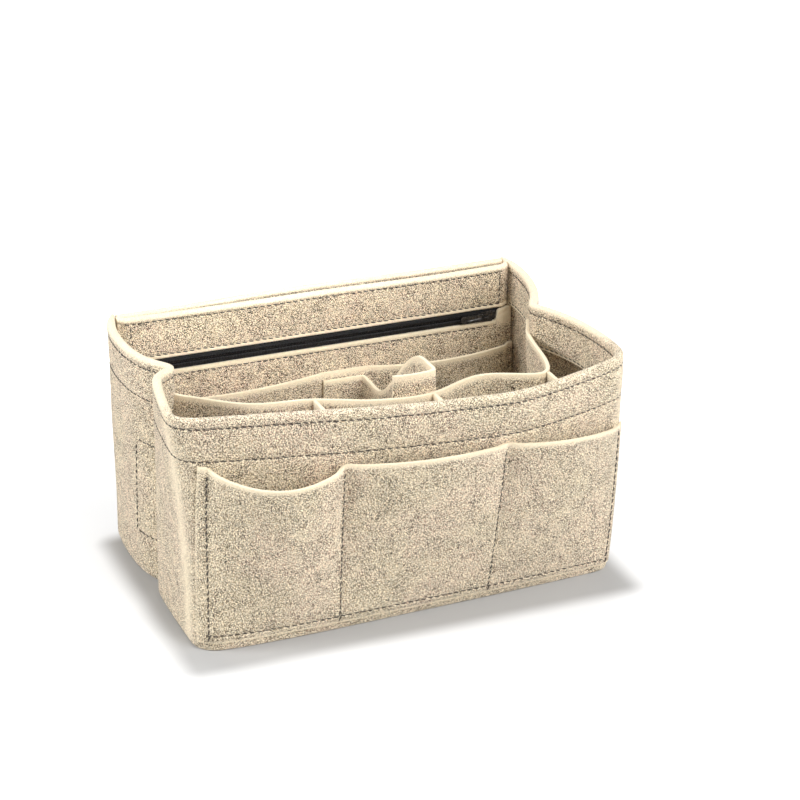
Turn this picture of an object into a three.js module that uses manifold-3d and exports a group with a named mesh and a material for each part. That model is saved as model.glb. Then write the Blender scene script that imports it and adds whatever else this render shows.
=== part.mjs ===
// Felt bag insert: an open-topped box of sewn felt that keeps a handbag in shape and sorts what it holds.
// Millimetres, +Z up. The front with its three pockets faces -Y, the folded left end faces -X.
import * as THREE from "three";
import { mergeVertices } from "three/addons/utils/BufferGeometryUtils.js";
import Module from "manifold-3d";

const wasm = await Module();
wasm.setup();

// Driving dimensions of the box
const LENGTH = 262; // between the corners of the front
const DEPTH = 163; // from the back to the front corners
const HEIGHT = 145;
const FELT = 2.4;
const FOLD_SPACE = 0.4; // between the two layers of a folded hem
const HEM_HEIGHT = 28;
const HEM_STEP = 0.8; // height in which the hem's cut edge steps back to one layer
const FOOT_ROUND = 1.1;
const GAP = 0.3; // between sewn pieces

// Outward bow of the front and the back
const FRONT_BOW_RIM = 34;
const FRONT_BOW_BASE = 5.8;
const BACK_BOW_RIM = 2;
const LEFT_CORNER_ROUND = 14;
const RIGHT_CORNER_ROUND = 13;
const LEFT_FLARE = 10.5; // of the left front corner at the rim

// The ends fold inwards along an upright crease
const LEFT_CREASE_PLACE = -7.5; // along the depth at the rim, from the middle
const LEFT_CREASE_FOOT = 6; // and at the base
const LEFT_CREASE_RIM = 9;
const LEFT_CREASE_BASE = 5;
const LEFT_CREASE_POWER = 5;
const LEFT_CREASE_FRONT_POWER = 18;
const RIGHT_CREASE_PLACE = 3;
const RIGHT_CREASE_FOOT = 3;
const RIGHT_CREASE_RIM = 15;
const RIGHT_CREASE_BASE = 4;
const RIGHT_CREASE_POWER = 2.5;
const LEFT_FRONT_BULGE = 2.5;
const LEFT_BACK_BULGE = 6;
const RIGHT_FRONT_BULGE = 3.2;
const RIGHT_BACK_BULGE = 3;

// Slip pocket behind the inner back wall
const BACK_POCKET = 5; // clear depth at the rim

// Zip pocket on the inner back wall
const ZIP_WINDOW = 7.7; // height of the slot that shows the zipper
const ZIP_END_INSET = 13; // from the box's corner to the end of the slot
const ZIP_SPACE = 2.6; // behind the zip pocket's panel
const TAPE = 0.6;
const TAPE_WIDTH = 12;
const TAPE_OVERHANG = 4;
const COIL_THICK = 1.6;
const COIL_WIDTH = 2;
const COIL_SPLIT = 1; // between the two coils, where the slider's post runs
const STOP_LENGTH = 2.6;
const SLIDER_LENGTH = 9.6;
const SLIDER_WIDTH = 6.8;
const SLIDER_PLATE = 0.9;
const POST_INSET = 1.6; // from the slider's nose to its post
const BAIL_INNER = 1;
const BAIL_THICK = 0.9;
const BAIL_WIDTH = 1.4;
const BAIL_STAND = 0.85; // from the plate to the pull's axis
const PULL_LENGTH = 17;
const PULL_WIDTH = 4.6;
const PULL_THICK = 0.9;
const PULL_EYE = 2.7;

// Slip pocket in front of the zip pocket
const SLIP_DROP = 16.4; // below the zipper's slot
const SLIP_BULGE = 9;

// Front pockets
const POCKET_EDGE_INSET = 2; // from the box's corners
const POCKET_STITCH_INSET = 5.1; // from the panel's edges
const POCKET_SEAM_SHARE_1 = 0.315; // of the length, from the left
const POCKET_SEAM_SHARE_2 = 0.672;
const POCKET_FOOT = 5.5;
const POCKET_HEM = 6; // sewn flat above the foot
const POCKET_DROP_LEFT = 28.5; // from the rim down to the mouth
const POCKET_DROP_1 = 33;
const POCKET_DROP_2 = 31.5;
const POCKET_DROP_RIGHT = 44;
const POCKET_BULGE_LEFT = 18;
const POCKET_BULGE_MIDDLE = 8.5;
const POCKET_BULGE_RIGHT = 10;
const POCKET_SAG_LEFT = 6.5;
const POCKET_SAG_MIDDLE = -1;
const POCKET_SAG_RIGHT = -3;

// Dividers inside
const DIVIDER_DROP = 20; // from the rim down to the dividers
const TAB_LENGTH = 22;
const PARTITION_SHARES = [0.332, 0.588, 0.87]; // of the length, from the left
const CROSS_SHARE = 0.603;
const CROSS_DROP = 7;
const CROSS_LOW_DROP = 57;
const FLANGE = 28;
const SCOOP_START_SHARE = -0.44; // of half the depth
const SCOOP_END_SHARE = 0.49;

// Hook and loop patches that hold the long divider's tabs
const PATCH = 1.15;
const PATCH_WIDTH = 10;
const PATCH_INSET = 1;
const PATCH_LOW = 37;
const PATCH_DROP = 48; // from the rim down to a patch

// Worked out from the sizes above
const HALF = LENGTH / 2;
const BACK_Y = DEPTH / 2;
const FRONT_Y = -DEPTH / 2;
const HEM = 2 * FELT + FOLD_SPACE;
const HEM_Z = HEIGHT - HEM_HEIGHT;
const ZIP_HALF = HALF - ZIP_END_INSET;
const POCKET_LEFT_EDGE = POCKET_EDGE_INSET - HALF;
const POCKET_RIGHT_EDGE = HALF - POCKET_EDGE_INSET;
const POCKET_LEFT_SEAM = POCKET_LEFT_EDGE + POCKET_STITCH_INSET;
const POCKET_RIGHT_SEAM = POCKET_RIGHT_EDGE - POCKET_STITCH_INSET;
const POCKET_SEAM_1 = (POCKET_SEAM_SHARE_1 - 0.5) * LENGTH;
const POCKET_SEAM_2 = (POCKET_SEAM_SHARE_2 - 0.5) * LENGTH;
const POCKET_TOP_LEFT = HEIGHT - POCKET_DROP_LEFT;
const POCKET_TOP_1 = HEIGHT - POCKET_DROP_1;
const POCKET_TOP_2 = HEIGHT - POCKET_DROP_2;
const POCKET_TOP_RIGHT = HEIGHT - POCKET_DROP_RIGHT;
const DIVIDER_HEIGHT = HEIGHT - DIVIDER_DROP;
const CROSS_HEIGHT = HEIGHT - CROSS_DROP;
const CROSS_LOW = HEIGHT - CROSS_LOW_DROP;
const CROSS_PLACE = (CROSS_SHARE - 0.5) * LENGTH;
const PATCH_HIGH = HEIGHT - PATCH_DROP;
const FLOOR_Z = FELT + GAP;
const ZIP_TOP = HEM_Z - HEM_STEP / 2;
const ZIP_LOW = ZIP_TOP - ZIP_WINDOW;
const ZIP_Z = (ZIP_TOP + ZIP_LOW) / 2;
const SLIP_HEIGHT = ZIP_LOW - SLIP_DROP;
const SLIDER_END = ZIP_HALF - STOP_LENGTH - SLIDER_LENGTH / 2 - 3 * GAP; // at the closed end
const TAPE_SLOT = TAPE + 2 * GAP;
const INNER_HEM = 2 * FELT + TAPE_SLOT;
const INNER_DEPTH = 2 * FELT + ZIP_SPACE; // zip panel, space and inner back wall together
const INNER_FRONT = BACK_Y + BACK_BOW_RIM - HEM - BACK_POCKET - INNER_DEPTH;
const STRAIGHT_HALF = ZIP_HALF + TAPE_OVERHANG + GAP;
const BACK_BEND = BACK_POCKET - BACK_BOW_RIM - GAP; // the inner back wall turns back at its ends
const TAB_OFFSET = FELT + 3 * GAP + 2 * PATCH;
const BOW_RISE_POWER = 1.3;
const BULGE_POWER = 2.6;
const SWELL_POWER = 0.8;
const SLIP_RISE_POWER = 1.4;
const FLARE_RISE_POWER = 3;
const FLARE_FADE_POWER = 6; // along the front, away from the corner
const MITRE_LIMIT_SHARE = 0.5;
const LEAN_SHARE = 0.3; // how far a pocket's swell turns from the wall's normal to straight ahead
const WELD = 1e-4; // vertices closer than this are one

// Bow of the front seen from above, at its rim and its base, and the line of the long divider. The rows give
// shares of the length and the bow, and for the divider of half the length and half the depth.
const rimBowShares = [
  [0, -0.03],
  [0.19, 0.4],
  [0.39, 0.78],
  [0.57, 0.95],
  [0.69, 1],
  [0.87, 0.68],
  [1, 0.3],
];
const baseBowShares = [
  [0, 0.43],
  [0.12, 0.94],
  [0.23, 1],
  [0.385, 0.81],
  [0.5, 0.6],
  [0.69, 0.31],
  [0.88, -0.09],
  [1, -0.43],
];
const dividerLineShares = [
  [-0.61, -0.42],
  [-0.35, -0.49],
  [-0.09, -0.66],
  [0.15, -0.7],
  [0.44, -0.55],
  [0.73, -0.68],
];
const BASE_BULGE_SHARE = 0.45;
const TIP_SHARE = 0.98; // where the crease's tip begins

const leftEnd = {
  sign: -1,
  crease: LEFT_CREASE_PLACE,
  creaseFoot: LEFT_CREASE_FOOT,
  insetRim: LEFT_CREASE_RIM,
  insetBase: LEFT_CREASE_BASE,
  backPower: LEFT_CREASE_POWER,
  frontPower: LEFT_CREASE_FRONT_POWER,
  flare: LEFT_FLARE,
  frontBulge: LEFT_FRONT_BULGE,
  backBulge: LEFT_BACK_BULGE,
  round: LEFT_CORNER_ROUND,
};
const rightEnd = {
  sign: 1,
  crease: RIGHT_CREASE_PLACE,
  creaseFoot: RIGHT_CREASE_FOOT,
  insetRim: RIGHT_CREASE_RIM,
  insetBase: RIGHT_CREASE_BASE,
  backPower: RIGHT_CREASE_POWER,
  frontPower: RIGHT_CREASE_POWER,
  flare: 0,
  frontBulge: RIGHT_FRONT_BULGE,
  backBulge: RIGHT_BACK_BULGE,
  round: RIGHT_CORNER_ROUND,
};

// Small helpers
const mix = THREE.MathUtils.lerp;
const steps = (count) => Array.from({ length: count + 1 }, (_, i) => i / count);
const smooth = (t) => THREE.MathUtils.smoothstep(t, 0, 1);
const arch = (t, power) => Math.max(Math.sin(Math.PI * t), 0) ** power;

function alongSpline(points, count) {
  const curve = new THREE.CatmullRomCurve3(points.map((p) => new THREE.Vector3(p.x, p.y, 0)));
  return steps(count).map((t) => {
    const p = curve.getPoint(t);
    return new THREE.Vector2(p.x, p.y);
  });
}

function bowLine(shares) {
  const curve = new THREE.CatmullRomCurve3(shares.map(([x, y]) => new THREE.Vector3(x, y, 0)));
  return curve.getPoints(60);
}

const rimBow = bowLine(rimBowShares);
const baseBow = bowLine(baseBowShares);

function valueAt(points, x) {
  for (let i = 1; i < points.length; i++) {
    const a = points[i - 1];
    const b = points[i];
    if ((a.x - x) * (b.x - x) <= 0 && a.x !== b.x) return mix(a.y, b.y, (x - a.x) / (b.x - a.x));
  }
  return x < points[0].x ? points[0].y : points[points.length - 1].y;
}

// Moves a plan line to its left by a distance, keeping corners mitred
function offsetLine(line, distance, startNormal, endNormal) {
  return line.map((p, i) => {
    const before = i > 0 ? leftOf(line[i - 1], p) : leftOf(p, line[i + 1]);
    const after = i < line.length - 1 ? leftOf(p, line[i + 1]) : before;
    let normal = before.clone().add(after).normalize();
    let reach = distance / Math.max(normal.dot(before), MITRE_LIMIT_SHARE);
    if (i === 0 && startNormal) [normal, reach] = [startNormal, distance];
    if (i === line.length - 1 && endNormal) [normal, reach] = [endNormal, distance];
    return p.clone().addScaledVector(normal, reach);
  });
}

function leftOf(a, b) {
  const d = b.clone().sub(a).normalize();
  return new THREE.Vector2(-d.y, d.x);
}

// A sheet of felt: rows of plan points for its outer and inner face, closed at all four edges
function sheet(rows) {
  const columns = rows[0].outer.length;
  const vertices = [];
  const faces = [];
  const at = (side, r, c) => side * rows.length * columns + r * columns + c;
  const quad = (a, b, c, d) => faces.push(a, b, c, a, c, d);
  for (const side of ["outer", "inner"])
    for (const row of rows)
      row[side].forEach((p, c) => vertices.push(p.x, p.y, Array.isArray(row.z) ? row.z[c] : row.z));
  for (let r = 0; r < rows.length - 1; r++) {
    for (let c = 0; c < columns - 1; c++) {
      quad(at(0, r, c), at(0, r, c + 1), at(0, r + 1, c + 1), at(0, r + 1, c));
      quad(at(1, r, c), at(1, r + 1, c), at(1, r + 1, c + 1), at(1, r, c + 1));
    }
    const last = columns - 1;
    quad(at(1, r, 0), at(0, r, 0), at(0, r + 1, 0), at(1, r + 1, 0));
    quad(at(0, r, last), at(1, r, last), at(1, r + 1, last), at(0, r + 1, last));
  }
  const top = rows.length - 1;
  for (let c = 0; c < columns - 1; c++) {
    quad(at(0, top, c), at(0, top, c + 1), at(1, top, c + 1), at(1, top, c));
    quad(at(0, 0, c), at(1, 0, c), at(1, 0, c + 1), at(0, 0, c + 1));
  }
  const geometry = new THREE.BufferGeometry();
  geometry.setAttribute("position", new THREE.Float32BufferAttribute(vertices, 3));
  geometry.setIndex(faces);
  return geometry;
}

function toSolid(geometry) {
  const bare = geometry.clone();
  bare.deleteAttribute("normal");
  bare.deleteAttribute("uv");
  const merged = mergeVertices(bare, WELD);
  return new wasm.Manifold(
    new wasm.Mesh({
      numProp: 3,
      vertProperties: merged.attributes.position.array,
      triVerts: new Uint32Array(merged.index.array),
    }),
  );
}

function fromSolid(solid) {
  const mesh = solid.getMesh();
  const geometry = new THREE.BufferGeometry();
  geometry.setAttribute("position", new THREE.BufferAttribute(Float32Array.from(mesh.vertProperties), 3));
  geometry.setIndex(Array.from(mesh.triVerts));
  return geometry;
}

function block(low, high) {
  const size = high.clone().sub(low);
  const centre = low.clone().add(high).multiplyScalar(1 / 2);
  return new THREE.BoxGeometry(size.x, size.y, size.z).translate(centre.x, centre.y, centre.z);
}

const corner = (x, y, z) => new THREE.Vector3(x, y, z);

// The felt walls seen from above, at a height given as a share of the whole
const creaseAt = (end, v) => mix(end.creaseFoot, end.crease, v);

function endPoint(end, part, fromCorner, v) {
  const ahead = part === "front";
  const bulge = (ahead ? end.frontBulge : end.backBulge) * mix(BASE_BULGE_SHARE, 1, v);
  const flare = ahead ? end.flare * v ** FLARE_RISE_POWER * (1 - fromCorner) : 0;
  const inset = mix(end.insetBase, end.insetRim, v);
  const round = 1 - Math.abs(2 * fromCorner - 1) ** BULGE_POWER;
  const fold = Math.min(fromCorner / TIP_SHARE, 1) ** (ahead ? end.frontPower : end.backPower);
  const cornerY = ahead ? frontPoint((1 + end.sign) / 2, v).y : BACK_Y;
  const x = HALF + bulge * round + flare - inset * fold;
  return new THREE.Vector2(end.sign * x, mix(cornerY, creaseAt(end, v), fromCorner));
}

function frontPoint(share, v) {
  const rise = 1 - (1 - v) ** BOW_RISE_POWER;
  const bow = mix(FRONT_BOW_BASE * valueAt(baseBow, share), FRONT_BOW_RIM * valueAt(rimBow, share), rise);
  const flare = LEFT_FLARE * v ** FLARE_RISE_POWER * (1 - share) ** FLARE_FADE_POWER;
  return new THREE.Vector2(mix(-HALF, HALF, share) - flare, FRONT_Y - bow);
}

function roundCorner(from, middle, to, count) {
  const curve = new THREE.QuadraticBezierCurve(from, middle, to);
  return curve.getPoints(count).slice(1, -1);
}

// Columns of each half of an end, as shares of its depth, close together at the crease
const lobeShares = [0, 0.16, 0.33, 0.5, 0.67, 0.82, 0.92, 0.98, 1];
const LOBE_STEPS = lobeShares.length - 1;
const FRONT_STEPS = 24;
const CORNER_STEPS = 5;

function wallLine(v) {
  const start = (end) => end.round / (creaseAt(end, v) - FRONT_Y);
  const backLobe = (end) => lobeShares.map((s) => endPoint(end, "back", s, v));
  const frontLobe = (end) => lobeShares.map((s) => endPoint(end, "front", mix(start(end), 1, s), v)).reverse();
  const [low, high] = [leftEnd.round / LENGTH, 1 - rightEnd.round / LENGTH];
  const front = steps(FRONT_STEPS).map((s) => frontPoint(mix(low, high, s), v));
  const left = frontLobe(leftEnd);
  const right = frontLobe(rightEnd).reverse();
  return [
    ...backLobe(leftEnd),
    ...left.slice(1),
    ...roundCorner(left[left.length - 1], frontPoint(0, v), front[0], CORNER_STEPS),
    ...front,
    ...roundCorner(front[front.length - 1], frontPoint(1, v), right[0], CORNER_STEPS),
    ...right,
    ...backLobe(rightEnd).reverse().slice(1),
  ];
}

function wallFace(z, distance) {
  const inLeft = new THREE.Vector2(1, 0);
  const inRight = new THREE.Vector2(-1, 0);
  return offsetLine(wallLine(z / HEIGHT), distance, inLeft, inRight);
}

const wallDepth = (z) => (z < HEM_Z ? FELT : HEM);

// Heights of a hemmed wall, with how far its two faces stand in from the outer line
function hemRows(foot, depthBelow, depthAbove) {
  const radius = depthAbove / 2;
  const round = [45, 80].map(THREE.MathUtils.degToRad);
  const shares = [0.25, 0.5, 0.75];
  return [
    { z: foot, out: FOOT_ROUND / 2, in: depthBelow },
    { z: foot + FOOT_ROUND, out: 0, in: depthBelow },
    ...shares.map((share) => ({ z: mix(foot, HEM_Z, share), out: 0, in: depthBelow })),
    { z: HEM_Z - HEM_STEP / 2, out: 0, in: depthBelow },
    { z: HEM_Z + HEM_STEP / 2, out: 0, in: depthAbove },
    { z: HEIGHT - radius, out: 0, in: depthAbove },
    ...round.map((a) => ({
      z: HEIGHT - radius * (1 - Math.sin(a)),
      out: radius * (1 - Math.cos(a)),
      in: depthAbove - radius * (1 - Math.cos(a)),
    })),
  ];
}

function endAndFrontWall() {
  return sheet(
    hemRows(0, FELT, HEM).map((row) => ({
      z: row.z,
      outer: wallFace(row.z, row.out),
      inner: wallFace(row.z, row.in),
    })),
  );
}

// The inner face of an end wall, found at a place along the depth
function endFaceX(end, y, z) {
  const face = wallFace(z, wallDepth(z));
  const half = end.sign < 0 ? face.slice(0, LOBE_STEPS + 1) : face.slice(-LOBE_STEPS - 1);
  const turned = half.map((p) => new THREE.Vector2(p.y, p.x));
  return valueAt(turned, y);
}

function frontFaceY(x, z, distance) {
  const face = wallFace(z, distance).slice(2 * LOBE_STEPS + 1, -2 * LOBE_STEPS - 1);
  return valueAt(face, x);
}

// A panel that runs along the length, its faces given as depths for each place and height
function lengthPanel(columns, rows, frontY, backY) {
  return sheet(
    rows.map((row) => {
      const xs = columns(row.z);
      return {
        z: row.z,
        outer: xs.map((x) => new THREE.Vector2(x, frontY(x, row))),
        inner: xs.map((x) => new THREE.Vector2(x, backY(x, row))),
      };
    }),
  );
}

function outerBackWall() {
  const reach = (z) => HALF - wallDepth(z) - GAP;
  const columns = (z) => steps(12).map((s) => mix(-reach(z), reach(z), s));
  const bow = (x, z) => BACK_BOW_RIM * (z / HEIGHT) * (1 - (x / HALF) ** 2);
  return lengthPanel(
    columns,
    hemRows(0, FELT, HEM),
    (x, row) => BACK_Y + bow(x, row.z) - row.in,
    (x, row) => BACK_Y + bow(x, row.z) - row.out,
  );
}

// The inner back wall is straight where the zipper runs and turns back at both ends
function innerFrontY(x) {
  const reach = HALF - HEM - STRAIGHT_HALF;
  return INNER_FRONT + BACK_BEND * smooth((Math.abs(x) - STRAIGHT_HALF) / reach);
}

function innerColumns(z) {
  const ends = [leftEnd, rightEnd].map((end) => {
    const nearest = Math.min(
      ...[INNER_FRONT + BACK_BEND, INNER_FRONT + BACK_BEND + INNER_DEPTH].map((y) =>
        Math.abs(endFaceX(end, Math.min(y, BACK_Y), z)),
      ),
    );
    return nearest - GAP;
  });
  const bendShares = [0.3, 0.6];
  const bend = (reach) => bendShares.map((share) => mix(STRAIGHT_HALF, reach, share));
  return [
    -ends[0],
    ...bend(ends[0]).reverse().map((x) => -x),
    ...steps(6).map((s) => mix(-STRAIGHT_HALF, STRAIGHT_HALF, s)),
    ...bend(ends[1]),
    ends[1],
  ];
}

function innerBackWall() {
  const taper = (z) => mix(INNER_DEPTH, INNER_HEM, THREE.MathUtils.clamp((z - HEM_Z) / HEM_HEIGHT, 0, 1));
  const rows = hemRows(FLOOR_Z, FELT, INNER_HEM);
  const wall = lengthPanel(
    innerColumns,
    rows,
    (x, row) => innerFrontY(x) + taper(row.z) - row.in - (row.z > HEM_Z ? taper(row.z) - INNER_HEM : 0),
    (x, row) => innerFrontY(x) + taper(row.z) - row.out,
  );
  const half = ZIP_HALF + TAPE_OVERHANG + GAP;
  const slotLow = INNER_FRONT + FELT;
  const slot = block(
    corner(-half, slotLow, ZIP_LOW),
    corner(half, slotLow + TAPE_SLOT, ZIP_Z + TAPE_WIDTH + GAP),
  );
  return fromSolid(toSolid(wall).subtract(toSolid(slot)));
}

function zipPocketPanel() {
  const shares = [0, 0.35, 0.7, 1];
  const top = ZIP_TOP - GAP;
  const panel = lengthPanel(
    innerColumns,
    shares.map((s) => ({ z: mix(FLOOR_Z, top, s) })),
    (x) => innerFrontY(x),
    (x) => innerFrontY(x) + FELT,
  );
  const window = block(
    corner(-ZIP_HALF, INNER_FRONT - FELT, ZIP_LOW),
    corner(ZIP_HALF, INNER_FRONT + 2 * FELT, ZIP_TOP + GAP),
  );
  return fromSolid(toSolid(panel).subtract(toSolid(window)));
}

function zipperTape(side) {
  const half = ZIP_HALF + TAPE_OVERHANG;
  const near = ZIP_Z + (side * COIL_SPLIT) / 2;
  const far = ZIP_Z + side * TAPE_WIDTH;
  const y = INNER_FRONT + FELT + GAP;
  return block(corner(-half, y, Math.min(near, far)), corner(half, y + TAPE, Math.max(near, far)));
}

function zipperCoil(side) {
  const half = ZIP_HALF - GAP - STOP_LENGTH - GAP;
  const near = ZIP_Z + (side * COIL_SPLIT) / 2;
  const far = near + side * COIL_WIDTH;
  const y = INNER_FRONT + FELT;
  return block(corner(-half, y - COIL_THICK, Math.min(near, far)), corner(half, y, Math.max(near, far)));
}

function zipperStop(side) {
  const outer = side * (ZIP_HALF - GAP);
  const inner = outer - side * STOP_LENGTH;
  const y = INNER_FRONT + FELT;
  const reach = COIL_SPLIT / 2 + COIL_WIDTH;
  return block(
    corner(Math.min(inner, outer), y - COIL_THICK, ZIP_Z - reach),
    corner(Math.max(inner, outer), y, ZIP_Z + reach),
  );
}

// The slider: two plates held by a post between the coils, and a bail for the pull
function zipperSlider() {
  const frontPlate = INNER_FRONT + FELT - COIL_THICK - GAP;
  const backPlate = INNER_FRONT + FELT + GAP + TAPE + GAP;
  const plate = (y) => {
    const nose = SLIDER_WIDTH / 2 - SLIDER_PLATE;
    const outline = new THREE.Shape()
      .moveTo(-SLIDER_LENGTH / 2, -nose)
      .quadraticCurveTo(0, -SLIDER_WIDTH / 2, SLIDER_LENGTH / 2, -SLIDER_WIDTH / 2)
      .lineTo(SLIDER_LENGTH / 2, SLIDER_WIDTH / 2)
      .quadraticCurveTo(0, SLIDER_WIDTH / 2, -SLIDER_LENGTH / 2, nose);
    const geometry = new THREE.ExtrudeGeometry(outline, {
      depth: SLIDER_PLATE,
      bevelEnabled: false,
      curveSegments: 5,
    });
    return toSolid(geometry.rotateX(Math.PI / 2).translate(SLIDER_END, y + SLIDER_PLATE, ZIP_Z));
  };
  const postThick = COIL_SPLIT - 2 * GAP;
  const post = block(
    corner(SLIDER_END, frontPlate - SLIDER_PLATE / 2, ZIP_Z - postThick / 2),
    corner(SLIDER_END + SLIDER_LENGTH / 2 - POST_INSET, backPlate + SLIDER_PLATE / 2, ZIP_Z + postThick / 2),
  );
  const outerRadius = BAIL_INNER + BAIL_THICK;
  const sink = BAIL_STAND + SLIDER_PLATE / 2;
  const bailOutline = new THREE.Shape()
    .moveTo(outerRadius, -sink)
    .lineTo(outerRadius, 0)
    .absarc(0, 0, outerRadius, 0, Math.PI, false)
    .lineTo(-outerRadius, -sink)
    .lineTo(-BAIL_INNER, -sink)
    .lineTo(-BAIL_INNER, 0)
    .absarc(0, 0, BAIL_INNER, Math.PI, 0, true)
    .lineTo(BAIL_INNER, -sink);
  const bail = new THREE.ExtrudeGeometry(bailOutline, {
    depth: BAIL_WIDTH,
    bevelEnabled: false,
    curveSegments: 8,
  })
    .translate(0, 0, -BAIL_WIDTH / 2)
    .rotateX(Math.PI)
    .translate(SLIDER_END, frontPlate - SLIDER_PLATE - BAIL_STAND, ZIP_Z);
  const plates = plate(frontPlate - SLIDER_PLATE).add(plate(backPlate));
  return fromSolid(plates.add(toSolid(post)).add(toSolid(bail)));
}

// The pull lies along the zipper, its bar under the slider's bail
function zipperPull() {
  const axisY = INNER_FRONT + FELT - COIL_THICK - GAP - SLIDER_PLATE - BAIL_STAND;
  const bar = PULL_THICK / 2;
  const outline = new THREE.Shape();
  const tipRound = PULL_WIDTH / 2;
  outline.moveTo(bar, -PULL_WIDTH / 2);
  outline.lineTo(bar, PULL_WIDTH / 2);
  outline.lineTo(tipRound - PULL_LENGTH, PULL_WIDTH / 2);
  outline.absarc(tipRound - PULL_LENGTH, 0, tipRound, Math.PI / 2, (Math.PI * 3) / 2, false);
  const eye = new THREE.Path();
  const eyeHalf = BAIL_WIDTH / 2 + GAP;
  eye.moveTo(-bar, -eyeHalf);
  eye.lineTo(-PULL_EYE, -eyeHalf);
  eye.lineTo(-PULL_EYE, eyeHalf);
  eye.lineTo(-bar, eyeHalf);
  outline.holes.push(eye);
  return new THREE.ExtrudeGeometry(outline, { depth: PULL_THICK, bevelEnabled: false, curveSegments: 10 })
    .translate(0, 0, -PULL_THICK / 2)
    .rotateX(Math.PI / 2)
    .translate(SLIDER_END, axisY, ZIP_Z);
}

// The slip pocket's panel swells between its seams
function slipPocketPanel() {
  const seamLeft = CROSS_PLACE - FLANGE;
  const swell = (x, share) => {
    const [low, high] = x < CROSS_PLACE ? [-HALF + HEM, seamLeft] : [CROSS_PLACE + FELT, HALF - HEM];
    const t = THREE.MathUtils.clamp((x - low) / (high - low), 0, 1);
    return SLIP_BULGE * arch(t, SWELL_POWER) * share ** SLIP_RISE_POWER;
  };
  const shares = [0, 0.1, 0.4, 0.7, 1];
  const columns = (z) => {
    const all = innerColumns(z);
    const [low, high] = [all[0], all[all.length - 1]];
    return [
      low,
      ...steps(7).map((s) => mix(-STRAIGHT_HALF, seamLeft, s)),
      ...steps(6).map((s) => mix(CROSS_PLACE + FELT, STRAIGHT_HALF, s)),
      high,
    ];
  };
  const backY = (x, row) => innerFrontY(x) - GAP - swell(x, row.share);
  return lengthPanel(
    columns,
    shares.map((share) => ({ share, z: mix(FLOOR_Z, SLIP_HEIGHT, share) })),
    (x, row) => backY(x, row) - FELT,
    backY,
  );
}

// The front pockets: one panel sewn down at its edges, its foot and two seams
function pocketTop(x) {
  const spans = [
    [POCKET_LEFT_SEAM, POCKET_SEAM_1, POCKET_TOP_LEFT, POCKET_TOP_1, POCKET_SAG_LEFT],
    [POCKET_SEAM_1, POCKET_SEAM_2, POCKET_TOP_1, POCKET_TOP_2, POCKET_SAG_MIDDLE],
    [POCKET_SEAM_2, POCKET_RIGHT_SEAM, POCKET_TOP_2, POCKET_TOP_RIGHT, POCKET_SAG_RIGHT],
  ];
  const span = spans.find(([low, high]) => x >= low && x <= high);
  if (!span) return x < 0 ? POCKET_TOP_LEFT : POCKET_TOP_RIGHT;
  const [low, high, topLow, topHigh, sag] = span;
  const t = (x - low) / (high - low);
  return mix(topLow, topHigh, t) - sag * arch(t, SWELL_POWER);
}

function pocketSwell(x, share) {
  const spans = [
    [POCKET_LEFT_SEAM, POCKET_SEAM_1, POCKET_BULGE_LEFT],
    [POCKET_SEAM_1, POCKET_SEAM_2, POCKET_BULGE_MIDDLE],
    [POCKET_SEAM_2, POCKET_RIGHT_SEAM, POCKET_BULGE_RIGHT],
  ];
  const span = spans.find(([low, high]) => x >= low && x <= high);
  if (!span) return 0;
  const [low, high, bulge] = span;
  return bulge * arch((x - low) / (high - low), SWELL_POWER) * share;
}

function frontPocketPanel() {
  const xs = [
    ...steps(6).map((s) => mix(POCKET_LEFT_EDGE, LEFT_CORNER_ROUND - HALF, s)),
    ...steps(12).slice(1).map((s) => mix(LEFT_CORNER_ROUND - HALF, POCKET_SEAM_1, s)),
    ...steps(12).slice(1).map((s) => mix(POCKET_SEAM_1, POCKET_SEAM_2, s)),
    ...steps(12).slice(1).map((s) => mix(POCKET_SEAM_2, HALF - RIGHT_CORNER_ROUND, s)),
    ...steps(6).slice(1).map((s) => mix(HALF - RIGHT_CORNER_ROUND, POCKET_RIGHT_EDGE, s)),
  ];
  const hem = POCKET_FOOT + POCKET_HEM;
  const upper = steps(5).map((share) => ({ share, z: (x) => mix(hem, pocketTop(x), share) }));
  const rows = [{ share: 0, z: () => POCKET_FOOT }, ...upper];
  return sheet(
    rows.map((row) => {
      const zs = xs.map((x) => row.z(x));
      const seat = xs.map((x, i) => new THREE.Vector2(x, frontFaceY(x, zs[i], -GAP)));
      const ahead = new THREE.Vector2(0, 1);
      const lifted = seat.map((p, i) => {
        const normal = leftOf(seat[Math.max(i - 1, 0)], seat[Math.min(i + 1, seat.length - 1)]);
        const way = normal.lerp(ahead, LEAN_SHARE).normalize();
        return p.clone().addScaledVector(way, -pocketSwell(xs[i], row.share));
      });
      return { z: zs, outer: offsetLine(lifted, -FELT), inner: lifted };
    }),
  );
}

// The long divider: a tab along each end wall, folded round the crease into a wavy panel
const tabShares = [1, 0.75, 0.52, 0.36, 0.24, 0.14, 0.06, 0];
const FOLD = tabShares.length - 1;

function dividerLine(z) {
  const face = wallFace(z, TAB_OFFSET);
  const tabs = [leftEnd, rightEnd].map((end) => {
    const lobe = end.sign < 0 ? face.slice(0, LOBE_STEPS + 1) : face.slice(-LOBE_STEPS - 1).reverse();
    const turned = lobe.map((p) => new THREE.Vector2(p.y, p.x));
    const crease = lobe[LOBE_STEPS];
    return tabShares.map((share) => {
      const y = crease.y + share * TAB_LENGTH;
      return share ? new THREE.Vector2(valueAt(turned, y), y) : crease.clone();
    });
  });
  const middle = dividerLineShares.map(([x, y]) => new THREE.Vector2(x * HALF, y * BACK_Y));
  const [left, right] = tabs;
  const run = alongSpline([left[FOLD], ...middle, right[FOLD]], 26);
  return [...left.slice(0, FOLD), ...run, ...right.slice(0, FOLD).reverse()];
}

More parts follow.
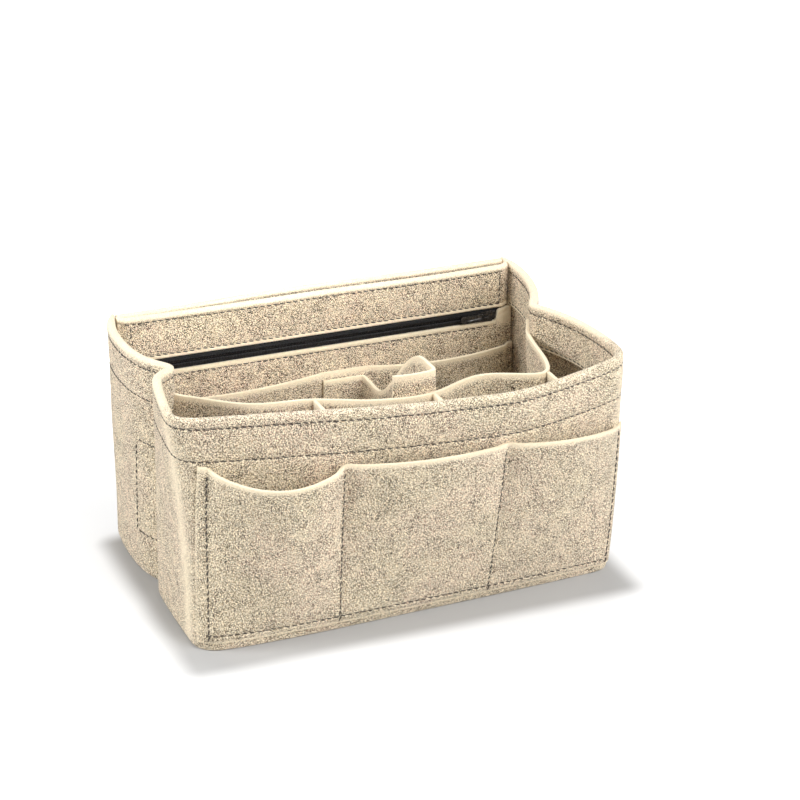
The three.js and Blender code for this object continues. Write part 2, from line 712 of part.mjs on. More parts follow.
const dividerShares = [0, 0.3, 0.6, (HEM_Z - FLOOR_Z) / (DIVIDER_HEIGHT - FLOOR_Z), 1];

function longDivider() {
  return sheet(
    dividerShares.map((share) => {
      const z = mix(FLOOR_Z, DIVIDER_HEIGHT, share);
      const outer = dividerLine(z);
      return { z, outer, inner: offsetLine(outer, FELT) };
    }),
  );
}

function dividerFaceY(x, z, distance) {
  const line = offsetLine(dividerLine(z), distance);
  return valueAt(line.slice(FOLD + 1, -FOLD - 1), x);
}

// A partition stands between the long divider and the front wall
function cellPartition(place) {
  const shares = [0, 0.35, 0.7];
  const heights = [
    ...shares.map((share) => mix(FLOOR_Z, HEM_Z, share)),
    HEM_Z - HEM_STEP,
    HEM_Z + HEM_STEP,
    DIVIDER_HEIGHT,
  ];
  const sides = [place - FELT / 2, place + FELT / 2];
  return sheet(
    heights.map((z) => {
      const depth = z < HEM_Z - HEM_STEP ? FELT : HEM;
      const front = Math.max(...sides.map((x) => frontFaceY(x, z, depth))) + GAP;
      const back = Math.min(...sides.map((x) => dividerFaceY(x, z, 0))) - GAP;
      return {
        z,
        outer: [new THREE.Vector2(sides[1], front), new THREE.Vector2(sides[1], back)],
        inner: [new THREE.Vector2(sides[0], front), new THREE.Vector2(sides[0], back)],
      };
    }),
  );
}

// The cross divider: a strip folded to a C, its low rear end passing under the zipper
function crossDivider() {
  const rearY = INNER_FRONT - GAP - FELT - GAP;
  const frontY = (x) => dividerFaceY(x, DIVIDER_HEIGHT, FELT) + GAP;
  const flangeStart = CROSS_PLACE - FLANGE;
  const flangeXs = steps(4).map((s) => mix(flangeStart, CROSS_PLACE, s));
  const front = flangeXs.map((x) => new THREE.Vector2(x, frontY(x)));
  const cornerY = front[front.length - 1].y;
  const web = steps(8).slice(1).map((s) => new THREE.Vector2(CROSS_PLACE, mix(cornerY, rearY, s)));
  const rear = steps(2).slice(1).map((s) => new THREE.Vector2(mix(CROSS_PLACE, flangeStart, s), rearY));
  const line = [...front, ...web, ...rear];
  const inner = offsetLine(line, FELT);
  const [scoopStart, scoopEnd] = [SCOOP_START_SHARE * BACK_Y, SCOOP_END_SHARE * BACK_Y];
  const topAt = (p) => mix(CROSS_HEIGHT, CROSS_LOW, smooth((p.y - scoopStart) / (scoopEnd - scoopStart)));
  const tops = line.map(topAt);
  return sheet(
    [0, 0.5, 1].map((share) => ({ z: tops.map((top) => mix(FLOOR_Z, top, share)), outer: line, inner })),
  );
}

// A patch of hook or loop tape on the back part of an end wall
function tapePatch(end, distance) {
  return sheet(
    steps(3).map((share) => {
      const z = mix(PATCH_LOW, PATCH_HIGH, share);
      const low = creaseAt(end, z / HEIGHT) + PATCH_INSET;
      const faceAt = (reach) => {
        const face = wallFace(z, reach);
        const lobe = end.sign < 0 ? face.slice(0, LOBE_STEPS + 1) : face.slice(-LOBE_STEPS - 1);
        const turned = lobe.map((p) => new THREE.Vector2(p.y, p.x));
        const ys = steps(4).map((s) => low + s * PATCH_WIDTH);
        const points = ys.map((y) => new THREE.Vector2(valueAt(turned, y), y));
        return end.sign < 0 ? points.reverse() : points;
      };
      return { z, outer: faceAt(distance), inner: faceAt(distance + PATCH) };
    }),
  );
}

// The base lies between the walls, clear of them at its underside and at its top
function basePanel() {
  const back = BACK_Y - FELT - GAP;
  const [low, high] = [0, FELT].map((z) => {
    const kept = wallFace(z, FELT + GAP).filter((p) => p.y < back);
    const corners = [leftEnd, rightEnd].map((end) => {
      const x = endFaceX(end, back, z) - end.sign * GAP;
      return new THREE.Vector2(x, back);
    });
    const outline = new THREE.Shape([corners[0], ...kept, corners[1]]);
    return toSolid(new THREE.ExtrudeGeometry(outline, { depth: FELT, bevelEnabled: false }));
  });
  return fromSolid(low.intersect(high));
}

// Materials, one for each piece
const felt = () => new THREE.MeshStandardMaterial({ color: 0xdecaac, roughness: 0.95, metalness: 0 });
const tape = () => new THREE.MeshStandardMaterial({ color: 0x141414, roughness: 0.85, metalness: 0 });
const nylon = () => new THREE.MeshStandardMaterial({ color: 0x0d0d0d, roughness: 0.45, metalness: 0 });
const metal = () => new THREE.MeshStandardMaterial({ color: 0x55504a, roughness: 0.35, metalness: 1 });
const hookTape = () => new THREE.MeshStandardMaterial({ color: 0xd8c6a8, roughness: 0.9, metalness: 0 });

const organizer = new THREE.Group();
const add = (name, geometry, material) => {
  const mesh = new THREE.Mesh(geometry, material);
  mesh.name = name;
  organizer.add(mesh);
};

add("end_and_front_wall", endAndFrontWall(), felt());
add("outer_back_wall", outerBackWall(), felt());
add("inner_back_wall", innerBackWall(), felt());
add("base_panel", basePanel(), felt());
add("front_pocket_panel", frontPocketPanel(), felt());
add("zip_pocket_panel", zipPocketPanel(), felt());
add("inner_slip_pocket_panel", slipPocketPanel(), felt());
add("long_divider", longDivider(), felt());
PARTITION_SHARES.forEach((share, i) =>
  add("front_cell_partition_" + (i + 1), cellPartition((share - 0.5) * LENGTH), felt()),
);
add("cross_divider", crossDivider(), felt());
add("upper_zipper_tape", zipperTape(1), tape());
add("lower_zipper_tape", zipperTape(-1), tape());
add("upper_zipper_coil", zipperCoil(1), nylon());
add("lower_zipper_coil", zipperCoil(-1), nylon());
add("closed_end_stop", zipperStop(1), metal());
add("open_end_stop", zipperStop(-1), metal());
add("zipper_slider", zipperSlider(), metal());
add("zipper_pull", zipperPull(), metal());
for (const [name, end] of [
  ["left", leftEnd],
  ["right", rightEnd],
]) {
  add(name + "_wall_hook_patch", tapePatch(end, FELT + GAP), hookTape());
  add(name + "_tab_loop_patch", tapePatch(end, FELT + 2 * GAP + PATCH), hookTape());
}

// The origin is the middle of the underside
const bounds = new THREE.Box3().setFromObject(organizer);
const middle = bounds.getCenter(new THREE.Vector3());
organizer.position.set(-middle.x, -middle.y, -bounds.min.z);

export default organizer;
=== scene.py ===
import bpy
import math
import numpy as np
from mathutils import Matrix, Vector


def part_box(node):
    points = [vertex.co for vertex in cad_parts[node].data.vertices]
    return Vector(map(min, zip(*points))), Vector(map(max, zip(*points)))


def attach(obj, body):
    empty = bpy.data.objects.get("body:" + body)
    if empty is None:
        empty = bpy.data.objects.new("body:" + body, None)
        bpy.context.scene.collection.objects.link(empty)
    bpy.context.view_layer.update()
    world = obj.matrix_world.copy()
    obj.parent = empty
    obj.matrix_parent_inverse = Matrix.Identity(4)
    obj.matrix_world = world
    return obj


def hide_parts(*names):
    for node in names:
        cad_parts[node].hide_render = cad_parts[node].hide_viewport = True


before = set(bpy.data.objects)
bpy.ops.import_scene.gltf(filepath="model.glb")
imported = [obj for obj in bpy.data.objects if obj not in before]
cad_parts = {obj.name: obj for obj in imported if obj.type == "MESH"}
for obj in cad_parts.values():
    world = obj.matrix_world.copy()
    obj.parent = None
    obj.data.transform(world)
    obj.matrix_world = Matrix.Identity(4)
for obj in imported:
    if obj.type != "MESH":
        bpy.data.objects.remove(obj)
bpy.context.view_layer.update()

# The plan below is in millimetres, centred on the box. The zipper's tape says where the frame has it.
MM = 0.001
TAPE_FRONT = 0.0686  # in that plan, in metres
tape_low, tape_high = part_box("upper_zipper_tape")
OX = (tape_low[0] + tape_high[0]) / 2
OY = tape_low[1] - TAPE_FRONT

# Camera: lens, turn and place come from a fit to the photo's outlines
FOCAL_LENGTH, SENSOR_WIDTH = 113.2, 36
scene = bpy.context.scene
lens = bpy.data.cameras.new("camera")
lens.lens = FOCAL_LENGTH
lens.sensor_width = SENSOR_WIDTH
camera = bpy.data.objects.new("camera", lens)
scene.collection.objects.link(camera)
camera.matrix_world = Matrix((
    (0.9273, 0.1527, -0.3417, OX - 0.4904),
    (-0.3743, 0.3782, -0.8466, OY - 1.2775),
    (0.0, 0.9130, 0.4079, 0.7119),
    (0.0, 0.0, 0.0, 1.0),
))
scene.camera = camera
scene.view_settings.view_transform = "Standard"

# Sizes in mm, as in the solids
LENGTH, DEPTH, HEIGHT = 262.0, 163.0, 145.0
FELT, FOLD_SPACE, GAP = 2.4, 0.4, 0.3
HEM_HEIGHT, HEM_STEP = 28.0, 0.8
HALF, BACK_Y, FRONT_Y = LENGTH / 2, DEPTH / 2, -DEPTH / 2
HEM = 2 * FELT + FOLD_SPACE
HEM_Z = HEIGHT - HEM_HEIGHT
FLOOR_Z = FELT + GAP

FRONT_BOW_RIM, FRONT_BOW_BASE, BACK_BOW_RIM, FLARE = 34, 5.8, 2.0, 10.5
BOW_RISE_POWER, BULGE_POWER, SWELL_POWER, SLIP_RISE_POWER = 1.3, 2.6, 0.8, 1.4
FLARE_RISE_POWER, FLARE_FADE_POWER = 3, 6
BULGE_FOOT_SHARE, CREASE_SHARE = 0.45, 0.98

ZIP_WINDOW, ZIP_END_INSET = 7.7, 13
TAPE, TAPE_REACH, TAPE_OVERHANG, STOP_LENGTH = 0.6, 12, 4, 2.6
ZIP_TOP = HEM_Z - HEM_STEP / 2
ZIP_LOW = ZIP_TOP - ZIP_WINDOW
ZIP_Z = (ZIP_TOP + ZIP_LOW) / 2
ZIP_HALF = HALF - ZIP_END_INSET
STRAIGHT_HALF = ZIP_HALF + TAPE_OVERHANG + GAP
INNER_HEM, INNER_DEPTH, INNER_FRONT = 6.0, 7.4, 65.9
INNER_TURN = 2.7  # by which the inner back wall turns back at its ends
SLIP_DROP, SLIP_BULGE = 16.4, 9
SLIP_HEIGHT = ZIP_LOW - SLIP_DROP

DIVIDER_DROP, TAB_LENGTH = 20, 22
DIVIDER_HEIGHT = HEIGHT - DIVIDER_DROP
PARTITION_SHARES = (0.332, 0.588, 0.87)  # of the length, from the left
CROSS_PLACE = 0.103 * LENGTH
CROSS_HEIGHT, CROSS_LOW, FLANGE = HEIGHT - 7, HEIGHT - 57, 28.0
SCOOP_START, SCOOP_RUN = -0.44 * BACK_Y, 0.93 * BACK_Y  # over which the cross divider's top comes down
PATCH, PATCH_WIDTH, PATCH_INSET, PATCH_LOW, PATCH_HIGH = 1.15, 10, 1, 37.0, 97.0
TAB_OFFSET = FELT + 3 * GAP + 2 * PATCH

POCKET_EDGE_INSET, POCKET_STITCH_INSET = 2, 5.1
POCKET_EDGE = HALF - POCKET_EDGE_INSET
POCKET_STITCH = POCKET_EDGE - POCKET_STITCH_INSET
POCKET_FOOT, POCKET_HEM = 5.5, 6.0
POCKET_LEAN = 0.3  # how far a pocket's swell turns from the wall's normal to straight ahead
POCKET_SEAMS = (-POCKET_STITCH, -0.185 * LENGTH, 0.172 * LENGTH, POCKET_STITCH)
MOUTHS = (116.5, 112.0, 113.5, 101.0)  # height of the mouth at each seam
SAGS, BULGES = (6.5, -1.0, -3.0), (18.0, 8.5, 10.0)  # of the three pockets
POCKETS = list(zip(POCKET_SEAMS, POCKET_SEAMS[1:], MOUTHS, MOUTHS[1:], SAGS, BULGES))

# Each end: the crease's place along the depth at the rim and at the foot, its depth at the rim and at the
# base, its sharpness behind and ahead, the lobes' bulges, the flare and the front corner's round
LEFT = dict(sign=-1, crease=-7.5, foot=6.0, rim=9.0, base=5.0, power=(5.0, 18.0), front=2.5, back=6.0,
            flare=FLARE, round=14.0)
RIGHT = dict(sign=1, crease=3.0, foot=3.0, rim=15.0, base=4.0, power=(2.5, 2.5), front=3.2, back=3.0,
             flare=0.0, round=13.0)

# Stitching: heights of the hems' rows, and rows above the pockets' foot and below the zipper
ROWS, BACK_ROWS = (HEIGHT - 26.3, HEIGHT - 6.2), (HEIGHT - 25.4, HEIGHT - 3.7)
POCKET_ROW, ZIP_ROW = 5.2, 3.2
RECTANGLE_ROWS, RECTANGLE_REACH = (28.0, 90.0), (2.0, 23.0)
PITCH, DASH, SLANT, THREAD = 4.2, 3.4, 0.6, 0.36
DENT = 0.42  # by which a row pulls into the felt

# Columns: of each half of an end, of a front corner, of the front, of the back walls and of the long divider
LOBE, CORNER, FRONT, BACK, RUN, TAB = 36, 10, 150, 150, 150, 14
SIDES = 6  # of threads and of the coil's wire


def mix(a, b, t):
    return a + (b - a) * t


def smooth(t):
    t = np.clip(t, 0, 1)
    return t * t * (3 - 2 * t)


def arch(t, power=SWELL_POWER):
    return np.maximum(np.sin(np.pi * np.clip(t, 0, 1)), 0) ** power


def bump_at(value, middle, width):
    return np.exp(-((value - middle) / width) ** 2)


# A centripetal spline through all the points
def spline(points, count):
    pts = [np.array(p, float) for p in points]
    pts = [2 * pts[0] - pts[1]] + pts + [2 * pts[-1] - pts[-2]]
    out = []
    for t in np.linspace(0, len(pts) - 3, count + 1):
        k = min(int(t), len(pts) - 4)
        w = t - k
        a, b, c, d = pts[k:k + 4]
        p, q, r = (max(np.sum((v - u) ** 2), 1e-12) ** 0.25 for u, v in ((a, b), (b, c), (c, d)))
        m = ((b - a) / p - (c - a) / (p + q) + (c - b) / q) * q
        n = ((c - b) / q - (d - b) / (q + r) + (d - c) / r) * q
        out.append(b + m * w + (3 * (c - b) - 2 * m - n) * w ** 2 + (2 * (b - c) + m + n) * w ** 3)
    return np.array(out)


def bezier(a, b, c, count):
    t = np.linspace(0, 1, count + 1)[1:-1, None]
    return (1 - t) ** 2 * a + 2 * t * (1 - t) * b + t ** 2 * c


# Rounds a bend: the columns within reach of it are averaged with their neighbours
def soften(line, centre, reach, times):
    line = line.copy()
    for _ in range(times):
        part = line[centre - reach - 1:centre + reach + 2]
        line[centre - reach:centre + reach + 1] = (part[:-2] + 2 * part[1:-1] + part[2:]) / 4
    return line


# Rows of length 1, least being what a row's length counts as at the least
def unit(rows, least=0.0):
    return rows / np.maximum(np.linalg.norm(rows, axis=1, keepdims=True), least)


def normals(line, first=None, last=None):
    d = np.gradient(line, axis=0)
    n = unit(np.stack([-d[:, 1], d[:, 0]], -1), 1e-9)
    if first is not None:
        n[0], n[-1] = first, last
    return n


def offset(line, n, d):
    return line + n * (d[:, None] if isinstance(d, np.ndarray) else d)


def with_z(xy, z):
    return np.concatenate([xy, np.broadcast_to(np.asarray(z, float), (len(xy),))[:, None]], 1)


def in_space(x, y, z):
    return with_z(np.stack([x, y], -1), z)


# Bow of the front at the rim and at the base: (share of the length, share of the full bow)
rim_bow = spline([(0, -.03), (.19, .4), (.39, .78), (.57, .95), (.69, 1), (.87, .68), (1, .3)], 240)
base_bow = spline([(0, .43), (.12, .94), (.23, 1), (.385, .81), (.5, .6), (.69, .31), (.88, -.09), (1, -.43)], 240)


# Points of the wall's outside: along the front by share of its length, and along half an end from the corner
# to the crease by s. The share v of the height says where between base and rim they lie.
def front_point(share, v):
    share = np.asarray(share, float)
    rise = 1 - (1 - v) ** BOW_RISE_POWER
    base = FRONT_BOW_BASE * np.interp(share, *base_bow.T)
    bow = mix(base, FRONT_BOW_RIM * np.interp(share, *rim_bow.T), rise)
    flare = FLARE * v ** FLARE_RISE_POWER * (1 - share) ** FLARE_FADE_POWER
    return np.stack([mix(-HALF, HALF, share) - flare, FRONT_Y - bow], -1)


def crease_at(end, v):
    return mix(end["foot"], end["crease"], v)


def end_point(end, part, s, v):
    s = np.asarray(s, float)
    ahead = part == "front"
    bulge = end[part] * mix(BULGE_FOOT_SHARE, 1, v)
    flare = end["flare"] * v ** FLARE_RISE_POWER * (1 - s) if ahead else 0
    fold = np.minimum(s / CREASE_SHARE, 1) ** end["power"][ahead]
    x = HALF + bulge * (1 - np.abs(2 * s - 1) ** BULGE_POWER) + flare - mix(end["base"], end["rim"], v) * fold
    corner = front_point((1 + end["sign"]) / 2, v)[1] if ahead else BACK_Y
    return np.stack([end["sign"] * x, mix(corner, crease_at(end, v), s)], -1)


CROWD = 1.35  # the columns lie closer towards the crease
CREASE_REACH, LEFT_PASSES, RIGHT_PASSES = 5, 2, 6
wall_lines = {}


# The outside's line at a height: the left end from back to front, the front, and the right end back again
def wall_line(z):
    key = round(float(z), 3)
    if key not in wall_lines:
        v = z / HEIGHT
        lobe = 1 - (1 - np.linspace(0, 1, LOBE + 1)) ** CROWD
        ends = []
        for end in (LEFT, RIGHT):
            start = end["round"] / (crease_at(end, v) - FRONT_Y)
            ends.append((end_point(end, "back", lobe, v), end_point(end, "front", mix(start, 1, lobe)[::-1], v)))
        (back_l, front_l), (back_r, front_r) = ends
        front = front_point(np.linspace(LEFT["round"] / LENGTH, 1 - RIGHT["round"] / LENGTH, FRONT + 1), v)
        line = np.concatenate([
            back_l, front_l[1:], bezier(front_l[-1], front_point(0, v), front[0], CORNER), front,
            bezier(front[-1], front_point(1, v), front_r[-1], CORNER), front_r[::-1], back_r[::-1][1:],
        ])
        line = soften(line, LOBE, CREASE_REACH, LEFT_PASSES)
        wall_lines[key] = soften(line, len(line) - 1 - LOBE, CREASE_REACH, RIGHT_PASSES)
    return wall_lines[key]


def wall_face(z, d):
    line = wall_line(z)
    return offset(line, normals(line, (1, 0), (-1, 0)), d)


FIRST_FRONT = 2 * LOBE + 1
table_x = np.linspace(-HALF - 14, HALF + 6, 281)
table_z = np.linspace(0, HEIGHT, 59)
tables = {}


# The table's cell that a value lies in, and how far along it
def cell(value, table):
    u = np.clip((np.asarray(value, float) - table[0]) / (table[1] - table[0]), 0, len(table) - 1.001)
    return u.astype(int), u - u.astype(int)


# Depth of the front wall's face at a place and height, from a table for each distance
def front_y(x, z, d):
    key = round(float(d), 3)
    if key not in tables:
        grid = []
        for h in table_z:
            face = wall_face(h, d)[FIRST_FRONT:-FIRST_FRONT]
            order = np.argsort(face[:, 0])
            grid.append(np.interp(table_x, face[order, 0], face[order, 1]))
        tables[key] = np.array(grid)
    grid = tables[key]
    (i, u), (j, w) = cell(x, table_x), cell(z, table_z)
    return mix(mix(grid[j, i], grid[j, i + 1], u), mix(grid[j + 1, i], grid[j + 1, i + 1], u), w)


# The back half of an end's face, from the back wall to the crease
def back_lobe(end, face):
    return face[:LOBE + 1] if end["sign"] < 0 else face[-LOBE - 1:][::-1]


def end_x(end, y, z, d):
    half = back_lobe(end, wall_face(z, d))
    return np.interp(-np.asarray(y, float), -half[:, 1], half[:, 0])


# Felt is never quite flat: one slow wave moves all felt pieces together, and dies out at the zipper
# and at the foot. The bare numbers are wave lengths in mm and phases.
def soft(p):
    x, y, z = p[..., 0], p[..., 1], p[..., 2]
    a = np.sin(x / 31 + 0.7 * np.sin(z / 41) + 1.1) * np.cos(z / 37 + y / 53)
    b = np.sin(x / 19 + z / 33 + 2.0) * np.sin(y / 27 + 0.6)
    c = np.sin(y / 23 + z / 29 + 0.4) * np.cos(x / 61)
    near_zipper = smooth((y - 40) / 20) * smooth((z - 80) / 20) * smooth((146 - z) / 16)
    keep = (1 - near_zipper) * smooth(z / 30)
    out = p.copy()
    out[..., 0] += 0.7 * c * keep
    out[..., 1] += (0.55 * a + 0.3 * b) * keep
    out[..., 2] += 0.45 * np.sin(x / 27 + y / 35) * keep * smooth((z - 60) / 60)
    return out


# A visual piece, from points in the plan's millimetres, in place of a solid if it has one
def make(name, verts, faces, material, slot, solid=None, angle=48, warp=True, pale_share=None):
    verts = np.asarray(verts, float).reshape(-1, 3)
    verts = (soft(verts) if warp else verts) * MM + np.array([OX, OY, 0.0])
    mesh = bpy.data.meshes.new(name)
    mesh.from_pydata(verts.tolist(), [], faces)
    mesh.update()
    mesh.shade_smooth()
    mesh.set_sharp_from_angle(angle=math.radians(angle))
    mesh.materials.append(material)
    # The pale share paints highlight and marks rub on the felt
    if pale_share is not None:
        mesh.attributes.new("pale_share", "FLOAT", "POINT").data.foreach_set("value", np.ravel(pale_share).astype(np.float32))
    obj = bpy.data.objects.new(name, mesh)
    scene.collection.objects.link(obj)
    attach(obj, "felt_insert")
    if solid:
        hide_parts(solid)


# A closed strip: rings[k] is the k-th line of the profile, each with the same columns
def strip(rings):
    rings = np.asarray(rings)
    k, n = rings.shape[:2]
    at = lambda a, b: (a % k) * n + b
    faces = [(at(a, b), at(a + 1, b), at(a + 1, b + 1), at(a, b + 1)) for a in range(k) for b in range(n - 1)]
    flat = rings.reshape(-1, 3)
    quads = (flat - flat.mean(0))[np.array(faces)]
    volume = sum(np.einsum("ij,ij->i", quads[:, 0], np.cross(quads[:, i], quads[:, i + 1])).sum() for i in (1, 2))
    faces += [tuple(at(a, 0) for a in range(k))[::-1], tuple(at(a, n - 1) for a in range(k))]
    return rings, faces if volume > 0 else [f[::-1] for f in faces]


# Faces of a tube whose points start at first, closed at both ends
def tube_faces(first, rings, sides=SIDES):
    faces = []
    for a in range(rings - 1):
        low, high = first + a * sides, first + (a + 1) * sides
        for b in range(sides):
            c = (b + 1) % sides
            faces.append((low + b, low + c, high + c, high + b))
    last = first + (rings - 1) * sides
    return faces + [tuple(range(first, first + sides))[::-1], tuple(range(last, last + sides))]


END_LIP = 0.45


# Shares of a sheet's run, with one more column close to each of its ends, which are rounded there
def shares(count, span):
    lip = END_LIP / span
    return np.concatenate([[0, lip], np.linspace(0, 1, count)[1:-1], [1 - lip, 1]])


# Heights near rows of stitching at which a profile has points, so that the dents come out round
def around(rows, reach):
    return [row + o for row in rows for o in (-reach, -0.8, -0.35, 0, 0.35, 0.8, reach)]


# How deep the rows pull the felt in at a height
def dents(z, rows, width=0.8):
    return sum(DENT * math.exp(-((z - r) / width) ** 2) for r in rows)


# The cut top's round, the first row above the foot, and how far the round's middle point is from both faces
RAW_ROUND, RAW_FOOT, RAW_LIP = 0.5, 0.4, 0.13


# Rows of a raw-cut sheet: (height, depth), up one face, round the cut top and down the other
def raw_profile(height, step=4.0, grooves=()):
    up = np.linspace(RAW_FOOT, height - RAW_ROUND, max(int(height / step), 4))
    up = np.unique(np.concatenate([up, around(grooves, 1.6)]))
    dent = lambda z: dents(z, grooves, 0.75)
    loop = [(0, FELT * 0.35)] + [(z, dent(z)) for z in up]
    loop += [(height - RAW_LIP, RAW_LIP), (height, RAW_ROUND)]
    loop += [(height, FELT - RAW_ROUND), (height - RAW_LIP, FELT - RAW_LIP)]
    return loop + [(z, FELT - dent(z)) for z in up[::-1]] + [(0, FELT * 0.65)]


# The same with shares of the height, for a sheet whose height varies
def share_profile(height, grooves=()):
    return [(z / height, d) for z, d in raw_profile(height, grooves=grooves)]


HEM_PUFF, RIM_PUFF = 0.28, 0.18  # by which the felt swells between the rows of stitching, and above them
CREVICE, INNER_CREVICE = (FELT, 121.0), (INNER_HEM - 3.6, 125.0)  # depth and top of a hem's inside


# The folded hem: up the outer face, over the round rim, down the hem to its cut edge, up the crevice
# between the layers, and down the single layer below
def hem_profile(foot, hem, crevice=CREVICE, rows=ROWS):
    low, top_row = rows
    body = np.linspace(foot + 1.2, HEM_Z - 3, 26)
    high = np.unique(np.concatenate([np.arange(HEM_Z - 1.5, HEIGHT - hem / 2, 1.3), around(rows, 1.5)]))
    high = high[high < HEIGHT - hem / 2 + 0.2]
    puff = lambda z: HEM_PUFF * math.sin(math.pi * min(max((z - low) / (top_row - low), 0), 1)) ** 1.5
    face = lambda z: dents(z, rows) - puff(z) - (RIM_PUFF if z > top_row + 1 else 0)
    loop = [(foot, 1.3), (foot + 0.15, 0.8), (foot + 0.45, 0.35)]
    loop += [(z, 0.0) for z in body] + [(z, face(z)) for z in high]
    for a in range(20, 180, 20):
        t = math.radians(a)
        loop.append((HEIGHT - hem / 2 * (1 - math.sin(t)), hem / 2 * (1 - math.cos(t)) - RIM_PUFF * math.cos(t)))
    loop += [(z, hem - face(z)) for z in high[high > HEM_Z + 0.7][::-1]]
    edge, top = crevice
    loop += [(HEM_Z + 0.45, hem), (HEM_Z, hem - 0.45), (HEM_Z, hem - FELT + 0.5), (HEM_Z + 0.4, hem - FELT + 0.05)]
    loop += [(top, hem - FELT), (top, edge + 0.02), (HEM_Z - 1, edge)]
    return loop + [(z, FELT) for z in body[::-1]] + [(foot + 0.35, FELT - 0.25), (foot, FELT - 0.8)]


# Thickness of a wall at a height, with its hem
def hem_thick(hem):
    return lambda z: hem if z > HEM_Z - 0.2 else FELT


# A felt piece: place(z, d) gives a line of points for each row (z, d) of the profile. The first and last
# columns are pressed towards the share centre of the felt's thickness, which rounds them.
def swept(name, loop, place, solid, count, thick=lambda z: FELT, ease=0.32, pale_share=None, centre=0.5):
    thin = np.zeros(count)
    thin[[0, -1]], thin[[1, -2]] = ease, ease / 4
    rings, pale_rows = [], []
    for z, d in loop:
        middle = thick(z) * centre
        rings.append(place(z, middle + (d - middle) * (1 - thin)))
        pale_rows.append(np.broadcast_to(pale_share(z, d, rings[-1]) if pale_share else 0.0, (count,)))
    make(name, *strip(rings), felt, "felt", solid, pale_share=pale_rows)


RIM_RUB_AND_HIGHLIGHT, CUT_EDGE_HIGHLIGHT = 0.75, 0.8  # share of rub and painted highlight at a rim, and of painted highlight at a hem's cut edge
CUT_HIGH, RIM_BAND = HEM_Z + 3.6, 4.0  # where the cut edge's painted highlight ends and how far a rim's comes down


# Painted highlight: felt is made paler, with fewer dark fibres, where it is cut and at a rim's fold, which is also
# rubbed
def rim_rub_and_highlight(z, d, ring, rim_pale=RIM_RUB_AND_HIGHLIGHT):
    cut = smooth((CUT_HIGH - z) / 1.2) * (z > HEM_Z - 0.1) * (d > HEM / 2)
    return np.maximum(rim_pale * float(smooth((z - HEIGHT + RIM_BAND) / 3.2)), float(CUT_EDGE_HIGHLIGHT * cut))


# Painted highlight along a cut top edge, which catches the light
def cut_edge_highlight(top, depth=2.2):
    return lambda z, d, ring: smooth(ring[:, 2] - np.asarray(top) + depth)


# A material's node, with its properties set, and its inputs linked or set
def node(tree, kind, inputs=None, **props):
    made = tree.nodes.new(kind)
    for key, value in props.items():
        setattr(made, key, value)
    for key, value in (inputs or {}).items():
        if isinstance(value, bpy.types.NodeSocket):
            tree.links.new(value, made.inputs[key])
        else:
            made.inputs[key].default_value = value
    return made


def shader(name):
    material = bpy.data.materials.new(name)
    material.use_nodes = True
    tree = material.node_tree
    tree.nodes.clear()
    body = node(tree, "ShaderNodeBsdfPrincipled")
    out = node(tree, "ShaderNodeOutputMaterial", {0: body.outputs[0]})
    return material, tree, body, node(tree, "ShaderNodeTexCoord").outputs["Object"], out


def srgb(r, g, b):
    return tuple((c / 255 / 12.92 if c <= 10 else ((c / 255 + 0.055) / 1.055) ** 2.4) for c in (r, g, b)) + (1.0,)


def noise(tree, vector, scale, detail=2.0, rough=0.5, distortion=0.0):
    return node(tree, "ShaderNodeTexNoise", {
        "Vector": vector, "Scale": scale, "Detail": detail, "Roughness": rough, "Distortion": distortion,
    }).outputs[0]


def ramp(tree, value, low, high, a=0.0, b=1.0):
    return node(tree, "ShaderNodeMapRange", {
        "Value": value, "From Min": low, "From Max": high, "To Min": a, "To Max": b,
    }, interpolation_type="SMOOTHSTEP").outputs[0]


def maths(tree, kind, a, b):
    return node(tree, "ShaderNodeMath", {0: a, 1: b}, operation=kind).outputs[0]


# The Mix node's sockets for colours have the numbers 6 and 7, and 2 for what comes out
def blend(tree, factor, a, b):
    return node(tree, "ShaderNodeMix", {0: factor, 6: a, 7: b}, data_type="RGBA").outputs[2]


# Links what varies over the surface, and sets what is the same all over. The bump is given as its strength,
# its distance in metres and its height.
def dress(tree, body, colour, rough, bump, same=None):
    strength, distance, height = bump
    normal = node(tree, "ShaderNodeBump", {"Strength": strength, "Distance": distance, "Height": height}).outputs[0]
    for key, socket in (("Base Color", colour), ("Roughness", rough), ("Normal", normal)):
        tree.links.new(socket, body.inputs[key])
    for key, value in (same or {}).items():
        body.inputs[key].default_value = value


FELT_WARM, FELT_PINK, FELT_PALE = srgb(219, 193, 153), srgb(229, 190, 163), srgb(255, 242, 214)
# The last colour is the pale of rubbed felt and of painted highlight, on rims, cut edges and the left front lobe
FELT_DARK, FELT_FLECK, FELT_WORN_AND_LIT = srgb(38, 25, 16), srgb(14, 9, 6), srgb(237, 224, 196)

# Fibres that lie three ways: their turn, scale, squeeze and bend
ONE_WAY, OTHER_WAY = ((0.5, 0.35, 0.2), 1780, 0.75, 0.25), ((-0.5, -0.6, 0.9), 1640, 0.75, 0.25)
THIRD_WAY = ((0.2, 0.9, -0.4), 1500, 0.7, 0.3)
# The values of their noise from which a fibre is dark, pale or nearly black
DARK_ONE, DARK_OTHER, PALE_ONE, PALE_OTHER = (0.425, 0.41), (0.415, 0.4), (0.525, 0.54), (0.535, 0.55)
FLECK_THIRD = (0.4, 0.385)
PATCH_SCALE, MOTTLE_SCALE, FUZZ_SCALE = 110, 24, 2600
SPARSE, DARK_LEFT_WHERE_PALE, PALE_TINT = 0.68, 0.15, 0.8  # dark fibres left between patches and on rubbed and highlighted felt, and the pale tint of rub and painted highlight
